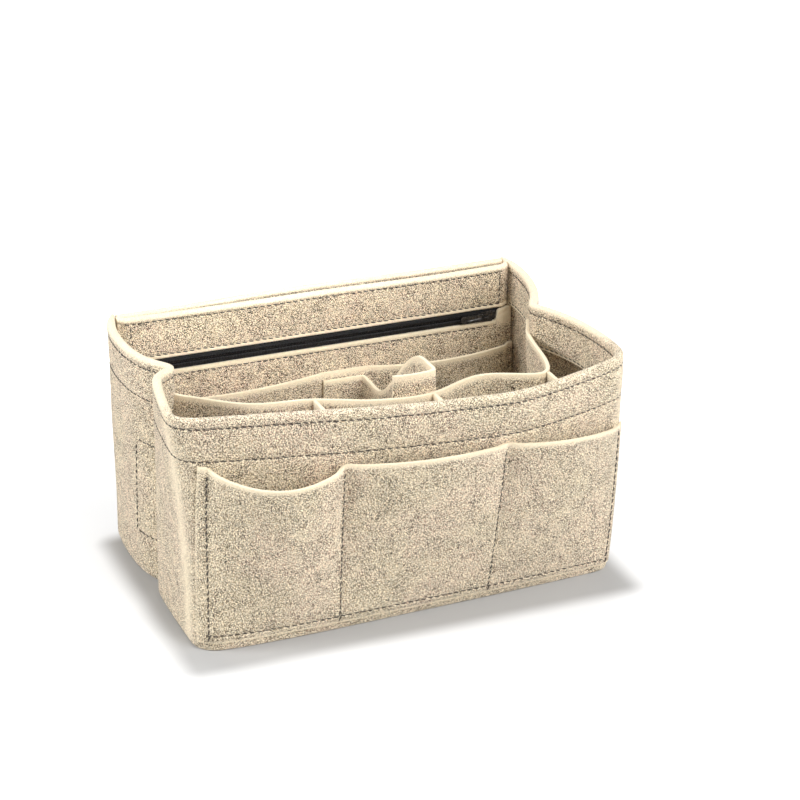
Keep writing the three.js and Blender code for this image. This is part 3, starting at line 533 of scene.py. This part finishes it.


# Needled felt: short fibres that lie every way, a few much darker, in loose patches
def felt_material():
    material, tree, body, place, _ = shader("felt")
    pale_share = node(tree, "ShaderNodeAttribute", attribute_name="pale_share").outputs["Fac"]
    times = lambda a, b: maths(tree, "MULTIPLY", a, b)
    larger = lambda a, b: maths(tree, "MAXIMUM", a, b)

    def fibres(turn, scale, squeeze, distortion):
        laid = node(tree, "ShaderNodeMapping", {"Vector": place, "Rotation": turn, "Scale": (1, 1, squeeze)},
                    vector_type="TEXTURE").outputs[0]
        return noise(tree, laid, scale, 0.8, 0.5, distortion)

    one, other, third = (fibres(*way) for way in (ONE_WAY, OTHER_WAY, THIRD_WAY))
    loose = ramp(tree, noise(tree, place, PATCH_SCALE, 3, 0.6), 0.36, 0.62, SPARSE, 1.0)
    # Where the pale share paints highlight and marks rub, the felt loses most dark fibres and turns paler
    dark_kept = ramp(tree, pale_share, 0.0, 1.0, 1.0, DARK_LEFT_WHERE_PALE)
    dark = times(larger(ramp(tree, one, *DARK_ONE), ramp(tree, other, *DARK_OTHER)), loose)
    pale = larger(ramp(tree, one, *PALE_ONE), ramp(tree, other, *PALE_OTHER))
    fleck = times(ramp(tree, third, *FLECK_THIRD), loose)
    mottle = ramp(tree, noise(tree, place, MOTTLE_SCALE, 3, 0.6), 0.35, 0.65)
    colour = blend(tree, mottle, FELT_WARM, FELT_PINK)
    for share, tint in ((pale, FELT_PALE), (times(dark, dark_kept), FELT_DARK), (times(fleck, dark_kept), FELT_FLECK),
                        (times(pale_share, PALE_TINT), FELT_WORN_AND_LIT)):
        colour = blend(tree, share, colour, tint)
    fuzz = noise(tree, place, FUZZ_SCALE, 4, 0.7, 0.6)
    height = maths(tree, "ADD", times(fuzz, 0.6), maths(tree, "ADD", one, other))
    dress(tree, body, colour, ramp(tree, fuzz, 0.3, 0.7, 0.86, 1.0), (0.6, 0.0003, height),
          {"Specular IOR Level": 0.12, "Sheen Weight": 0.15, "Sheen Roughness": 0.55})
    return material


def thread_material():
    material, tree, body, place, _ = shader("thread")
    tone = ramp(tree, noise(tree, place, 900, 2), 0.35, 0.65)
    dress(tree, body, blend(tree, tone, srgb(36, 31, 27), srgb(62, 54, 46)), ramp(tree, tone, 0, 1, 0.55, 0.75),
          (0.5, 0.0001, noise(tree, place, 5200, 2)), {"Sheen Weight": 0.1})
    return material


def tape_material():
    material, tree, body, place, _ = shader("woven_tape")
    wave = lambda axis, inputs: node(tree, "ShaderNodeTexWave", {"Vector": place, "Detail": 2.0, **inputs},
                                     bands_direction=axis).outputs["Fac"]
    weave = maths(tree, "MULTIPLY", wave("Z", {"Scale": 620.0, "Distortion": 0.6, "Detail Scale": 2.0}),
                  wave("X", {"Scale": 480.0, "Distortion": 0.8}))
    dress(tree, body, blend(tree, weave, srgb(14, 14, 15), srgb(38, 37, 38)), ramp(tree, weave, 0, 1, 0.9, 0.7),
          (0.7, 0.00015, weave), {"Sheen Weight": 0.15})
    return material


# A surface of one colour with slight wear, with a roughness that varies by ROUGH_SPREAD either way
ROUGH_SPREAD = 0.12


def plain_material(name, a, b, scale, rough, strength=0.15):
    material, tree, body, place, _ = shader(name)
    pale_share = ramp(tree, noise(tree, place, scale, 4, 0.65), 0.4, 0.66)
    dress(tree, body, blend(tree, pale_share, a, b), ramp(tree, pale_share, 0, 1, rough - ROUGH_SPREAD, rough + ROUGH_SPREAD),
          (strength, 0.00008, noise(tree, place, scale * 5, 3)))
    return material


felt, thread, woven = felt_material(), thread_material(), tape_material()
nylon = plain_material("nylon_coil", srgb(12, 12, 13), srgb(30, 30, 32), 900, 0.42)
metal = plain_material("black_lacquer", srgb(30, 29, 29), srgb(52, 49, 46), 500, 0.32)
loops = plain_material("hook_and_loop", srgb(206, 190, 163), srgb(226, 212, 188), 1800, 0.85, strength=0.8)


# Painted highlight on the left front lobe's rounded edge, and paler felt at the right front corner: its strength,
# place along the depth and reach
LEFT_LOBE_HIGHLIGHT, LEFT_LOBE_HIGHLIGHT_Y, LEFT_LOBE_HIGHLIGHT_REACH = 0.55, -66, 7
RIGHT_CORNER_PALE, RIGHT_CORNER_PALE_Y, RIGHT_CORNER_PALE_REACH = 0.4, -88, 90
FRONT_RIM_PALE, END_RIM_PALE = 0.15, 0.75


# The front's rim gets less rub and painted highlight than the ends' rims
def wall_rub_and_highlight(z, d, ring):
    x, y = ring[:, 0], ring[:, 1]
    # Painted highlight down the left front lobe's rounded edge; the right front corner is made paler too
    left = (x < -HALF + 20) * (LEFT_LOBE_HIGHLIGHT * bump_at(y, LEFT_LOBE_HIGHLIGHT_Y, LEFT_LOBE_HIGHLIGHT_REACH))
    right = RIGHT_CORNER_PALE * np.exp(-((x - HALF) ** 2 + (y - RIGHT_CORNER_PALE_Y) ** 2) / RIGHT_CORNER_PALE_REACH)
    rim_pale = mix(FRONT_RIM_PALE, END_RIM_PALE, smooth((y + 75) / 25))
    return np.maximum(rim_rub_and_highlight(z, d, ring, rim_pale), (left + right) * (d < 1))


SEAM_PRESS = 2.0


# The upright corner seams at the back press the hem thinner from outside
def wall_place(z, d):
    line = wall_face(z, d)
    press = SEAM_PRESS * np.exp((line[:, 1] - BACK_Y) / 6) * smooth((z - 100) / 40) * (1 - np.asarray(d) / HEM)
    line[:, 0] -= np.sign(line[:, 0]) * press
    return with_z(line, z)


WALL = len(wall_line(1.0))
swept("end_and_front_wall_felt", hem_profile(0.0, HEM), wall_place, "end_and_front_wall", WALL, hem_thick(HEM),
      ease=0.1, pale_share=wall_rub_and_highlight)


def outer_back(z, d):
    reach = HALF - (HEM if z > HEM_Z else FELT) - 0.08
    x = mix(-reach, reach, shares(BACK, 255))
    return in_space(x, BACK_Y + BACK_BOW_RIM * (z / HEIGHT) * (1 - (x / HALF) ** 2) - d, z)


swept("outer_back_wall_felt", hem_profile(0.0, HEM, rows=BACK_ROWS), outer_back, "outer_back_wall", BACK + 2,
      hem_thick(HEM), ease=0.06, pale_share=rim_rub_and_highlight)


def inner_y(x):
    return INNER_FRONT + INNER_TURN * smooth((np.abs(x) - STRAIGHT_HALF) / (HALF - HEM - STRAIGHT_HALF))


# Places along a panel that ends against both ends of the box at a height
def inner_x(z, count=BACK):
    d = HEM if z > HEM_Z else FELT
    ys = [min(INNER_FRONT + INNER_TURN + o, BACK_Y) for o in (0, INNER_DEPTH)]
    left, right = (min(abs(float(end_x(end, y, z, d))) for y in ys) - GAP for end in (LEFT, RIGHT))
    return mix(-left, right, shares(count, 250))


RIM_LEAN = 3.0  # of the inner back wall's rim, towards the back at its left


def inner_back(z, d):
    x = inner_x(z)
    taper = mix(INNER_DEPTH, INNER_HEM, min(max((z - HEM_Z) / HEM_HEIGHT, 0), 1))
    leant = RIM_LEAN * smooth((-x - 15) / 95) * smooth((z - 121) / 20)
    return in_space(x, inner_y(x) + taper - d + leant, z)


# The hem of the inner back wall holds the zipper's tape between its layers
swept("inner_back_wall_felt", hem_profile(FLOOR_Z, INNER_HEM, INNER_CREVICE, BACK_ROWS), inner_back,
      "inner_back_wall", BACK + 2, hem_thick(INNER_HEM), ease=0.1, pale_share=rim_rub_and_highlight)

BELOW_HEM = 100.0  # a height at which the panel's length is taken


# The panel's top is the window's lower edge, and rises beside the window's ends
def zip_panel(row, d):
    x = inner_x(BELOW_HEM)
    top = ZIP_LOW + (ZIP_TOP - GAP - ZIP_LOW) * smooth((np.abs(x) - ZIP_HALF + 1.2) / 2.4)
    return in_space(x, inner_y(x) + d, FLOOR_Z + (top - FLOOR_Z) * row)


ZIP_PANEL = ZIP_LOW - FLOOR_Z
swept("zip_pocket_panel_felt", share_profile(ZIP_PANEL, grooves=(ZIP_PANEL - ZIP_ROW,)), zip_panel,
      "zip_pocket_panel", BACK + 2, pale_share=cut_edge_highlight(ZIP_LOW, 2.8))

SLIP_COLUMNS = 170


# Two pockets, which swell on either side of the flat part behind the cross divider's flange
def slip_panel(row, d):
    z = FLOOR_Z + (SLIP_HEIGHT - FLOOR_Z) * row
    x = inner_x(z, SLIP_COLUMNS)
    low = np.where(x < CROSS_PLACE, -HALF + HEM, CROSS_PLACE + FELT)
    high = np.where(x < CROSS_PLACE, CROSS_PLACE - FLANGE, HALF - HEM)
    swell = SLIP_BULGE * arch((x - low) / (high - low)) * row ** SLIP_RISE_POWER
    return in_space(x, inner_y(x) - GAP - FELT - swell + d, z)


swept("slip_pocket_panel_felt", share_profile(SLIP_HEIGHT - FLOOR_Z), slip_panel, "inner_slip_pocket_panel",
      SLIP_COLUMNS + 2, pale_share=cut_edge_highlight(SLIP_HEIGHT))

# Front pockets: one panel, sewn down along the seams
MOUTH_POWER = 0.65


# Height of the mouths, which sag or rise between the seams
def pocket_top(x):
    top = np.where(x < 0, MOUTHS[0], MOUTHS[-1])
    for low, high, a, b, sag, _ in POCKETS:
        t = (x - low) / (high - low)
        top = np.where((x >= low) & (x <= high), mix(a, b, t) - sag * arch(t, MOUTH_POWER), top)
    return top


# The felt leaves each seam flat before it swells
def pocket_swell(x, share):
    out = np.zeros_like(x)
    for low, high, *_, bulge in POCKETS:
        inside = (x >= low) & (x <= high)
        free = smooth((np.minimum(x - low, high - x) - 0.6) / 6)
        out = np.where(inside, bulge * arch((x - low) / (high - low)) * share * free, out)
    return out


# Columns of the panel, closer at the seams
def pocket_columns():
    xs = np.concatenate([np.linspace(-POCKET_EDGE, POCKET_EDGE, 176), [-POCKET_EDGE + 0.45, POCKET_EDGE - 0.45]]
                        + [s + np.array([-1.4, -0.7, -0.3, 0, 0.3, 0.7, 1.4]) for s in POCKET_SEAMS])
    xs = np.unique(xs)
    return xs[np.concatenate([[True], np.diff(xs) > 0.12])]


pocket_x = pocket_columns()
EDGE_SLANT, EDGE_SHIFT, EDGE_REACH = 2.4, 0.9, 14  # of the panel's left edge, which isn't quite upright


# A row of the panel's back, its outward directions, its heights and how deep the stitching pulls it in
def pocket_surface(share):
    x = pocket_x
    top = pocket_top(x)
    hem = POCKET_FOOT + POCKET_HEM
    z = POCKET_FOOT + (top - POCKET_FOOT) * share
    x = x + (EDGE_SLANT * (z / 116) ** 3 - EDGE_SHIFT) * np.exp(-(x + POCKET_EDGE) / EDGE_REACH)
    seat = np.stack([x, front_y(x, z, -GAP)], -1)
    flat = -normals(seat)
    way = unit(flat * (1 - POCKET_LEAN) + np.array([0, -1.0]) * POCKET_LEAN)
    lifted = seat + way * pocket_swell(pocket_x, np.clip((z - hem) / (top - hem), 0, 1))[:, None]
    seam = sum(bump_at(pocket_x, s, 0.8) for s in POCKET_SEAMS)
    held = np.clip(sum(bump_at(pocket_x, s, 2.5) for s in POCKET_SEAMS), 0, 1)[:, None]
    out = unit(-normals(lifted) * (1 - held) + flat * held)
    pinch = DENT * np.clip(seam + bump_at(z, POCKET_FOOT + POCKET_ROW, 0.8), 0, 1.2)
    return lifted, out, z, pinch


RAW_THIN = 0.48  # share by which the panel's raw edges are pressed thinner


# The stitching pulls in the outer face only
def pocket_panel(row, d):
    line, out, z, pinch = pocket_surface(row)
    edge = np.maximum(bump_at(np.abs(pocket_x), POCKET_EDGE, 2.6), bump_at(z, POCKET_FOOT, 2.6))
    d = d * (1 - RAW_THIN * edge)
    return with_z(line + out * (d - np.where(d > FELT / 2, pinch, 0))[:, None], z)


# A middling height sets the profile's rows. Near the foot it is square, since the surface has the dent there.
POCKET_HEIGHT, SQUARE = 108.0, 7.0
pocket_loop = [(z / POCKET_HEIGHT, d if z > SQUARE else (FELT if d > FELT / 2 else 0))
               for z, d in raw_profile(POCKET_HEIGHT, 3.0, (1.6, POCKET_ROW))]


# Painted highlight along the pocket panel's cut edges: the mouths, the side edges and the foot's lip
def pocket_edge_highlight(z, d, ring):
    edge = 0.35 * smooth((np.abs(pocket_x) - POCKET_EDGE + 1.3) / 0.6)
    foot = 0.5 * smooth((POCKET_FOOT + 1.6 - ring[:, 2]) / 0.5)
    return np.maximum(cut_edge_highlight(pocket_top(pocket_x), 1.5)(z, d, ring), np.maximum(edge, foot))


swept("front_pocket_panel_felt", pocket_loop, pocket_panel, "front_pocket_panel", len(pocket_x), ease=0.5,
      pale_share=pocket_edge_highlight, centre=0.75)

# Long divider: the tabs follow the ends, and the run between them waves through these shares of the half sizes
WAVE = ((-.61, -.42), (-.35, -.49), (-.09, -.66), (.15, -.7), (.44, -.55), (.73, -.68))
divider_lines = {}


def divider_line(z):
    face = wall_face(z, TAB_OFFSET)
    tabs = []
    for end in (LEFT, RIGHT):
        half = back_lobe(end, face)
        ys = half[LOBE][1] + np.linspace(TAB_LENGTH, 0, TAB + 1)
        tabs.append(np.stack([np.interp(-ys, -half[:, 1], half[:, 0]), ys], -1))
    run = spline([tabs[0][-1]] + [(x * HALF, y * BACK_Y) for x, y in WAVE] + [tabs[1][-1]], RUN)
    line = np.concatenate([tabs[0][:-1], run, tabs[1][:-1][::-1]])
    return soften(soften(line, TAB, 3, 5), TAB + RUN, 3, 5)


def divider_face(z, d):
    key = round(float(z), 3)
    if key not in divider_lines:
        line = divider_line(z)
        divider_lines[key] = (line, normals(line))
    return offset(*divider_lines[key], d)


def divider_y(x, z, d):
    face = divider_face(z, d)[TAB + 2:-TAB - 2]
    return np.interp(x, face[:, 0], face[:, 1])


divider_loop = [(z + FLOOR_Z, d) for z, d in raw_profile(DIVIDER_HEIGHT - FLOOR_Z)]
swept("long_divider_felt", divider_loop, lambda z, d: with_z(divider_face(z, d), z), "long_divider",
      len(divider_line(10.0)), pale_share=cut_edge_highlight(DIVIDER_HEIGHT))

PARTITION_COLUMNS = 24


# A partition reaches from the front wall, or its hem, to the long divider
def partition(place):
    def at(z, d):
        depth = HEM if z > HEM_Z - HEM_STEP else FELT
        faces = (place - FELT / 2, place + FELT / 2)
        front = max(float(front_y(x, z, depth)) for x in faces) + GAP
        back = min(float(divider_y(x, z, 0.0)) for x in faces) - GAP
        y = mix(front, back, shares(PARTITION_COLUMNS, 40))
        return in_space(np.full_like(y, place) + d - FELT / 2, y, z)
    return at


for index, share in enumerate(PARTITION_SHARES):
    piece = f"front_cell_partition_{index + 1}"
    swept(piece + "_felt", divider_loop, partition((share - 0.5) * LENGTH), piece, PARTITION_COLUMNS + 2,
          pale_share=cut_edge_highlight(DIVIDER_HEIGHT))

# Cross divider, folded to a C: columns of its front flange, its web and its back flange
C_FRONT, C_WEB, C_BACK = 15, 50, 12
CROSS_ROWS = HEIGHT - 40 - FLOOR_Z  # a middling height, which sets the rows of its profile


def cross_line():
    rear = INNER_FRONT - GAP - FELT - GAP
    xs = np.linspace(CROSS_PLACE - FLANGE, CROSS_PLACE, C_FRONT + 1)
    front = np.stack([xs, divider_y(xs, DIVIDER_HEIGHT, FELT) + GAP], -1)
    web = np.stack([np.full(C_WEB, CROSS_PLACE), np.linspace(front[-1, 1], rear, C_WEB + 1)[1:]], -1)
    back = np.stack([np.linspace(CROSS_PLACE, CROSS_PLACE - FLANGE, C_BACK + 1)[1:], np.full(C_BACK, rear)], -1)
    line = np.concatenate([front, web, back])
    return soften(soften(line, C_FRONT, 2, 3), C_FRONT + C_WEB, 2, 3)


cross = cross_line()
cross_normals = normals(cross)
cross_top = mix(CROSS_HEIGHT, CROSS_LOW, smooth((cross[:, 1] - SCOOP_START) / SCOOP_RUN))


def cross_panel(row, d):
    return with_z(offset(cross, cross_normals, d), FLOOR_Z + (cross_top - FLOOR_Z) * row)


swept("cross_divider_felt", share_profile(CROSS_ROWS), cross_panel, "cross_divider", len(cross),
      pale_share=cut_edge_highlight(cross_top))

PATCH_ROUND, PATCH_COLUMNS = 0.4, 13


# A hook or loop patch that follows an end's face at a distance from its outside
def patch(name, end, distance):
    def at(z, d):
        y = crease_at(end, z / HEIGHT) + PATCH_INSET + shares(PATCH_COLUMNS, PATCH_WIDTH) * PATCH_WIDTH
        line = np.stack([end_x(end, y, z, distance), y], -1)
        return with_z(line + normals(line) * end["sign"] * d, z)
    r = PATCH_ROUND
    rows = np.linspace(PATCH_LOW + r, PATCH_HIGH - r, 20)
    loop = [(PATCH_LOW, r)] + [(z, 0.0) for z in rows] + [(PATCH_HIGH, r), (PATCH_HIGH, PATCH - r)]
    loop += [(z, PATCH) for z in rows[::-1]] + [(PATCH_LOW, PATCH - r)]
    make(name + "_felt", *strip([at(z, d) for z, d in loop]), loops, "hook_and_loop", name)


for side, end in (("left", LEFT), ("right", RIGHT)):
    patch(f"{side}_wall_hook_patch", end, FELT + GAP)
    patch(f"{side}_tab_loop_patch", end, FELT + 2 * GAP + PATCH)

# Base: the wall's inner outline, with a slightly rounded edge
BASE_ROUND, BASE_REACH = 0.5, 120


def base():
    back = BACK_Y - FELT - GAP
    rings = []
    for z, inset in ((0.0, BASE_ROUND), (BASE_ROUND, 0.0), (FELT - BASE_ROUND, 0.0), (FELT, BASE_ROUND)):
        line = wall_face(z, FELT + GAP + 0.05)
        left = np.array([[end_x(LEFT, back, z, FELT) + GAP + 0.1, back]])
        right = np.array([[end_x(RIGHT, back, z, FELT) - GAP - 0.1, back]])
        outline = np.concatenate([left, line[line[:, 1] < back], right])
        rings.append((outline - (outline - outline.mean(0)) * inset / BASE_REACH, z))
    count = min(len(r) for r, _ in rings)
    verts = np.concatenate([with_z(r[np.linspace(0, len(r) - 1, count).astype(int)], z) for r, z in rings])
    make("base_panel_felt", verts, tube_faces(0, len(rings), count), felt, "felt", "base_panel")


base()

# Stitching: how far along each stitch, how high above the felt and how thick, from end to end
ALONG = np.array([0, 0.14, 0.34, 0.5, 0.66, 0.86, 1.0])
LIFT = -0.3 + 0.58 * np.sin(np.pi * ALONG) ** 0.55
RADIUS = THREAD * np.array([0.5, 0.85, 1, 1.04, 1, 0.85, 0.5])
JITTER = 0.1
SEWN = FELT - DENT + 0.06  # distance of a seam's thread from the pocket panel's back


# Stitches along a line on a face: each is a short round thread that dips into the felt at both ends
def stitches(lines):
    verts, faces = [], []
    jitter = np.random.default_rng(7)
    ring = np.linspace(0, 2 * np.pi, SIDES, endpoint=False)
    for points, outward, start in lines:
        step = np.linalg.norm(np.diff(points, axis=0), axis=1)
        run = np.concatenate([[0], np.cumsum(step)])
        for k in range(int((run[-1] - start) / PITCH)):
            s = start + k * PITCH + DASH * ALONG
            p = np.stack([np.interp(s, run, points[:, a]) for a in range(3)], -1)
            n = unit(np.stack([np.interp(s, run, outward[:, a]) for a in range(3)], -1))
            axis = p[-1] - p[0]
            axis /= max(np.linalg.norm(axis), 1e-9)
            side = np.cross(axis, n)
            centre = p + n * LIFT[:, None] + side * (SLANT * (ALONG - 0.5) + jitter.normal(0, JITTER))[:, None]
            loop = centre[:, None] + RADIUS[:, None, None] * (
                np.cos(ring)[None, :, None] * side[:, None] + np.sin(ring)[None, :, None] * n[:, None])
            faces += tube_faces(len(verts) * len(ALONG) * SIDES, len(ALONG))
            verts.append(loop.reshape(-1, 3))
    return np.concatenate(verts), faces


def sew(name, lines):
    make(name, *stitches(lines), thread, "felt", angle=80)


TRIM = 3  # columns at each end of a wall that its rows leave out


# The two rows of a hem, each on its outside and on its inside
def hem_rows(place, rows, hem, count, sign):
    lines = []
    for z, start in zip(rows, (1.2, 0.0)):
        for d, way in ((DENT, sign), (hem - DENT, -sign)):
            points = place(z, np.full(count, float(d)))[TRIM:-TRIM]
            lines.append((points, with_z(normals(points[:, :2]) * way, 0.0), start))
    return lines


# A row on a face that looks straight towards -y or to one side
def straight(points, x=0.0, y=0.0):
    return points, np.tile((x, y, 0.0), (len(points), 1)), 0.0


# An upright row near each end of the inner back wall, down to its hem's cut edge
def end_seam(column):
    d = np.full(BACK + 2, INNER_HEM + 0.25)
    return straight(np.array([inner_back(z, d)[column] for z in np.linspace(*BACK_ROWS, 24)]), y=-1.0)


sew("wall_stitching", hem_rows(wall_place, ROWS, HEM, WALL, -1))
sew("outer_back_wall_stitching", hem_rows(outer_back, BACK_ROWS, HEM, BACK + 2, 1))
sew("inner_back_wall_stitching",
    hem_rows(inner_back, BACK_ROWS, INNER_HEM, BACK + 2, 1) + [end_seam(column) for column in (5, -6)])


def pocket_seam(x0):
    i = int(np.argmin(abs(pocket_x - x0)))
    points, outward = [], []
    for share in np.linspace(0.012, 0.985, 60):
        line, out, z, _ = pocket_surface(share)
        points.append((*(line[i] + out[i] * SEWN), z[i]))
        outward.append((*out[i], 0.0))
    return np.array(points), np.array(outward), 0.4


def pocket_foot():
    line, out, z, _ = pocket_surface(POCKET_ROW / POCKET_HEIGHT)
    keep = slice(4, -4)
    return with_z(line + out * SEWN, z)[keep], with_z(out, 0.0)[keep], 0.0


sew("pocket_stitching", [pocket_seam(x) for x in POCKET_SEAMS] + [pocket_foot()])
sew("zip_panel_stitching", [
    straight(zip_panel((ZIP_PANEL - ZIP_ROW) / ZIP_PANEL, np.full(BACK + 2, DENT))[8:-8], y=-1.0),
])


# The rectangle that holds the hook patch, seen on the outside of each end
def rectangle(end):
    lines = [(np.full(40, reach), np.linspace(*RECTANGLE_ROWS, 40)) for reach in RECTANGLE_REACH]
    lines += [(np.linspace(*RECTANGLE_REACH, 30), np.full(30, z)) for z in RECTANGLE_ROWS]
    out = []
    for along, zs in lines:
        ys = np.array([crease_at(end, z / HEIGHT) + r for r, z in zip(along, zs)])
        xs = np.array([float(end_x(end, y, z, 0.0)) for y, z in zip(ys, zs)])
        out.append(straight(np.stack([xs, ys, zs], -1), x=float(end["sign"])))
    return out


sew("patch_stitching", rectangle(LEFT) + rectangle(RIGHT))


# A copy of a solid with its edges rounded
def copy_of(node_name, body, bevel):
    name = node_name + "_metal"
    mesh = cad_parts[node_name].data.copy()
    mesh.name = name
    mesh.materials.clear()
    mesh.materials.append(metal)
    obj = bpy.data.objects.new(name, mesh)
    scene.collection.objects.link(obj)
    weld = obj.modifiers.new("weld", "WELD")
    weld.merge_threshold = 0.00001
    edge = obj.modifiers.new("bevel", "BEVEL")
    edge.width = bevel * MM
    edge.segments = 3
    edge.limit_method = "ANGLE"
    edge.angle_limit = math.radians(40)
    mesh.shade_smooth()
    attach(obj, body)
    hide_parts(node_name)


RIB, RIB_PITCH, TAPE_SPLIT = 0.06, 1.2, 0.22


# Woven tape with ribs along it
def tape(side, name):
    y0 = INNER_FRONT + FELT + GAP
    y1 = y0 + TAPE
    near, far = ZIP_Z + side * TAPE_SPLIT, ZIP_Z + side * TAPE_REACH
    zs = np.linspace(near, far, 40)
    rib = RIB * (0.5 + 0.5 * np.cos((zs - near) * 2 * math.pi / RIB_PITCH))
    xs = np.linspace(-ZIP_HALF - TAPE_OVERHANG, ZIP_HALF + TAPE_OVERHANG, 60)
    loop = [(z, y0 + r) for z, r in zip(zs, rib)] + [(z, y1 - r) for z, r in zip(zs[::-1], rib[::-1])]
    rings = [in_space(xs, np.full_like(xs, y), z) for z, y in loop]
    make(name + "_woven", *strip(rings), woven, "zipper_tape", name, warp=False)


TOOTH_PITCH, WIRE, WIRE_STRETCH, TOOTH_SHARE = 0.95, 0.29, 1.15, 0.92
COIL_INSET, COIL_DEPTH, COIL_END = 0.5, 0.8, 0.5  # from the zipper's middle, the panel's back and the stops

# A tooth's path: the distance from the middle of the zipper, and the depth
TOOTH = np.array([(2.0, -0.28), (1.5, -0.5), (0.6, -0.5), (0.14, -0.28), (0.0, 0.0),
                  (0.14, 0.28), (0.6, 0.5), (1.5, 0.5), (2.0, 0.28)])


# Coil: a row of rounded teeth, each a bent loop of nylon
def coil(side, name):
    half = ZIP_HALF - GAP - STOP_LENGTH - GAP
    near, middle = ZIP_Z + side * COIL_INSET, INNER_FRONT + FELT - COIL_DEPTH
    ring = np.linspace(0, 2 * np.pi, SIDES, endpoint=False)
    tangent = unit(np.gradient(TOOTH, axis=0))
    verts, faces = [], []
    for x in np.arange(-half + COIL_END, half - 0.4, TOOTH_PITCH):
        points = []
        for (u, w), (tu, tw) in zip(TOOTH, tangent):
            centre = np.array([x, middle + w, near + side * (0.01 + u * TOOTH_SHARE)])
            out = np.array([0.0, -tu, side * tw])
            out /= np.linalg.norm(out)
            for a in ring:
                points.append(centre + WIRE * (math.cos(a) * np.array([1.0, 0, 0]) * WIRE_STRETCH + math.sin(a) * out))
        faces += tube_faces(len(verts) * len(TOOTH) * SIDES, len(TOOTH))
        verts.append(np.array(points))
    make(name + "_teeth", np.concatenate(verts), faces, nylon, "zipper_coil", name, angle=80, warp=False)


tape(1, "upper_zipper_tape")
tape(-1, "lower_zipper_tape")
coil(1, "upper_zipper_coil")
coil(-1, "lower_zipper_coil")
copy_of("closed_end_stop", "felt_insert", 0.4)
copy_of("open_end_stop", "felt_insert", 0.4)
copy_of("zipper_slider", "slider", 0.22)
copy_of("zipper_pull", "pull", 0.22)


# 1 for the rays of the camera, of reflections and through glass, and 0 for those that light things
def seen_by(tree):
    rays = node(tree, "ShaderNodeLightPath").outputs
    return maths(tree, "MAXIMUM", rays["Is Camera Ray"],
                 maths(tree, "MAXIMUM", rays["Is Glossy Ray"], rays["Is Transmission Ray"]))


WHITE = (1, 1, 1, 1)
FLOOR_REACH, FLOOR_TONE = 6.0, 0.45
# The first reach paints a band of shade: within it the floor is greyer near the box, shadow or not
PAINTED_SHADE_BAND, GLOW_SPREAD = (0.001, 0.018), (0.018, 0.3)  # metres from the box, over each of which half the glow comes


# A pale floor, white for the camera farther off. Its glow fades out towards the box, and with the floor's low tone
# this paints a grey band of shade around the box, over the real shadow there
def floor():
    mesh = bpy.data.meshes.new("floor")
    s = FLOOR_REACH
    mesh.from_pydata([(-s, -s, 0), (s, -s, 0), (s, s, 0), (-s, s, 0)], [], [(0, 1, 2, 3)])
    material, tree, body, place, out = shader("floor")
    body.inputs["Base Color"].default_value = (FLOOR_TONE, FLOOR_TONE, FLOOR_TONE, 1)
    body.inputs["Roughness"].default_value = 0.9
    body.inputs["Specular IOR Level"].default_value = 0.1
    near = place
    for step, inputs in (("ABSOLUTE", {}), ("SUBTRACT", {1: (HALF * MM, BACK_Y * MM, 0)}),
                         ("MAXIMUM", {1: (0, 0, 0)})):
        near = node(tree, "ShaderNodeVectorMath", {0: near, **inputs}, operation=step).outputs[0]
    far = node(tree, "ShaderNodeVectorMath", {0: near}, operation="LENGTH").outputs["Value"]
    glow = maths(tree, "ADD", *(ramp(tree, far, *reach, 0.0, 0.5) for reach in (PAINTED_SHADE_BAND, GLOW_SPREAD)))
    glow = maths(tree, "MULTIPLY", glow, seen_by(tree))
    emit = node(tree, "ShaderNodeEmission", {"Color": WHITE, "Strength": glow})
    both = node(tree, "ShaderNodeAddShader", {0: body.outputs[0], 1: emit.outputs[0]})
    tree.links.new(both.outputs[0], out.inputs[0])
    mesh.materials.append(material)
    obj = bpy.data.objects.new("floor", mesh)
    scene.collection.objects.link(obj)


floor()

# The world is white for the camera, and lights things less
WORLD_LIGHT = 0.34
world = bpy.data.worlds.new("studio")
world.use_nodes = True
scene.world = world
world_tree = world.node_tree
world_tree.nodes.clear()
level = maths(world_tree, "ADD", WORLD_LIGHT, maths(world_tree, "MULTIPLY", seen_by(world_tree), 1 - WORLD_LIGHT))
back = node(world_tree, "ShaderNodeBackground", {"Color": WHITE, "Strength": level})
node(world_tree, "ShaderNodeOutputWorld", {0: back.outputs[0]})

# Lamps: place, target, size in metres, power in watts and spread in degrees
MIDDLE = (0, 0, 0.07)
for name, place, target, size, power, spread in (
    ("key", (0.3, -1.3, 1.5), MIDDLE, 0.9, 22, 180),
    ("top", (0.05, 0.12, 2.0), MIDDLE, 0.25, 7, 180),
    ("behind", (0.3, 1.7, 1.3), MIDDLE, 1.2, 9, 180),
    ("side", (-1.6, 0.25, 0.75), MIDDLE, 0.7, 24, 180),
    ("fill", (1.3, -1.6, 0.9), MIDDLE, 1.6, 31, 180),
    ("inside", (-0.1, -1.0, 0.95), (-0.03, 0.066, 0.19), 0.15, 0.036, 9),
):
    data = bpy.data.lights.new(name, "AREA")
    data.shape = "DISK"
    data.size = size
    data.energy = power
    data.spread = math.radians(spread)
    lamp = bpy.data.objects.new(name, data)
    scene.collection.objects.link(lamp)
    lamp.location = place
    lamp.rotation_euler = (Vector(target) - Vector(place)).to_track_quat("-Z", "Y").to_euler()
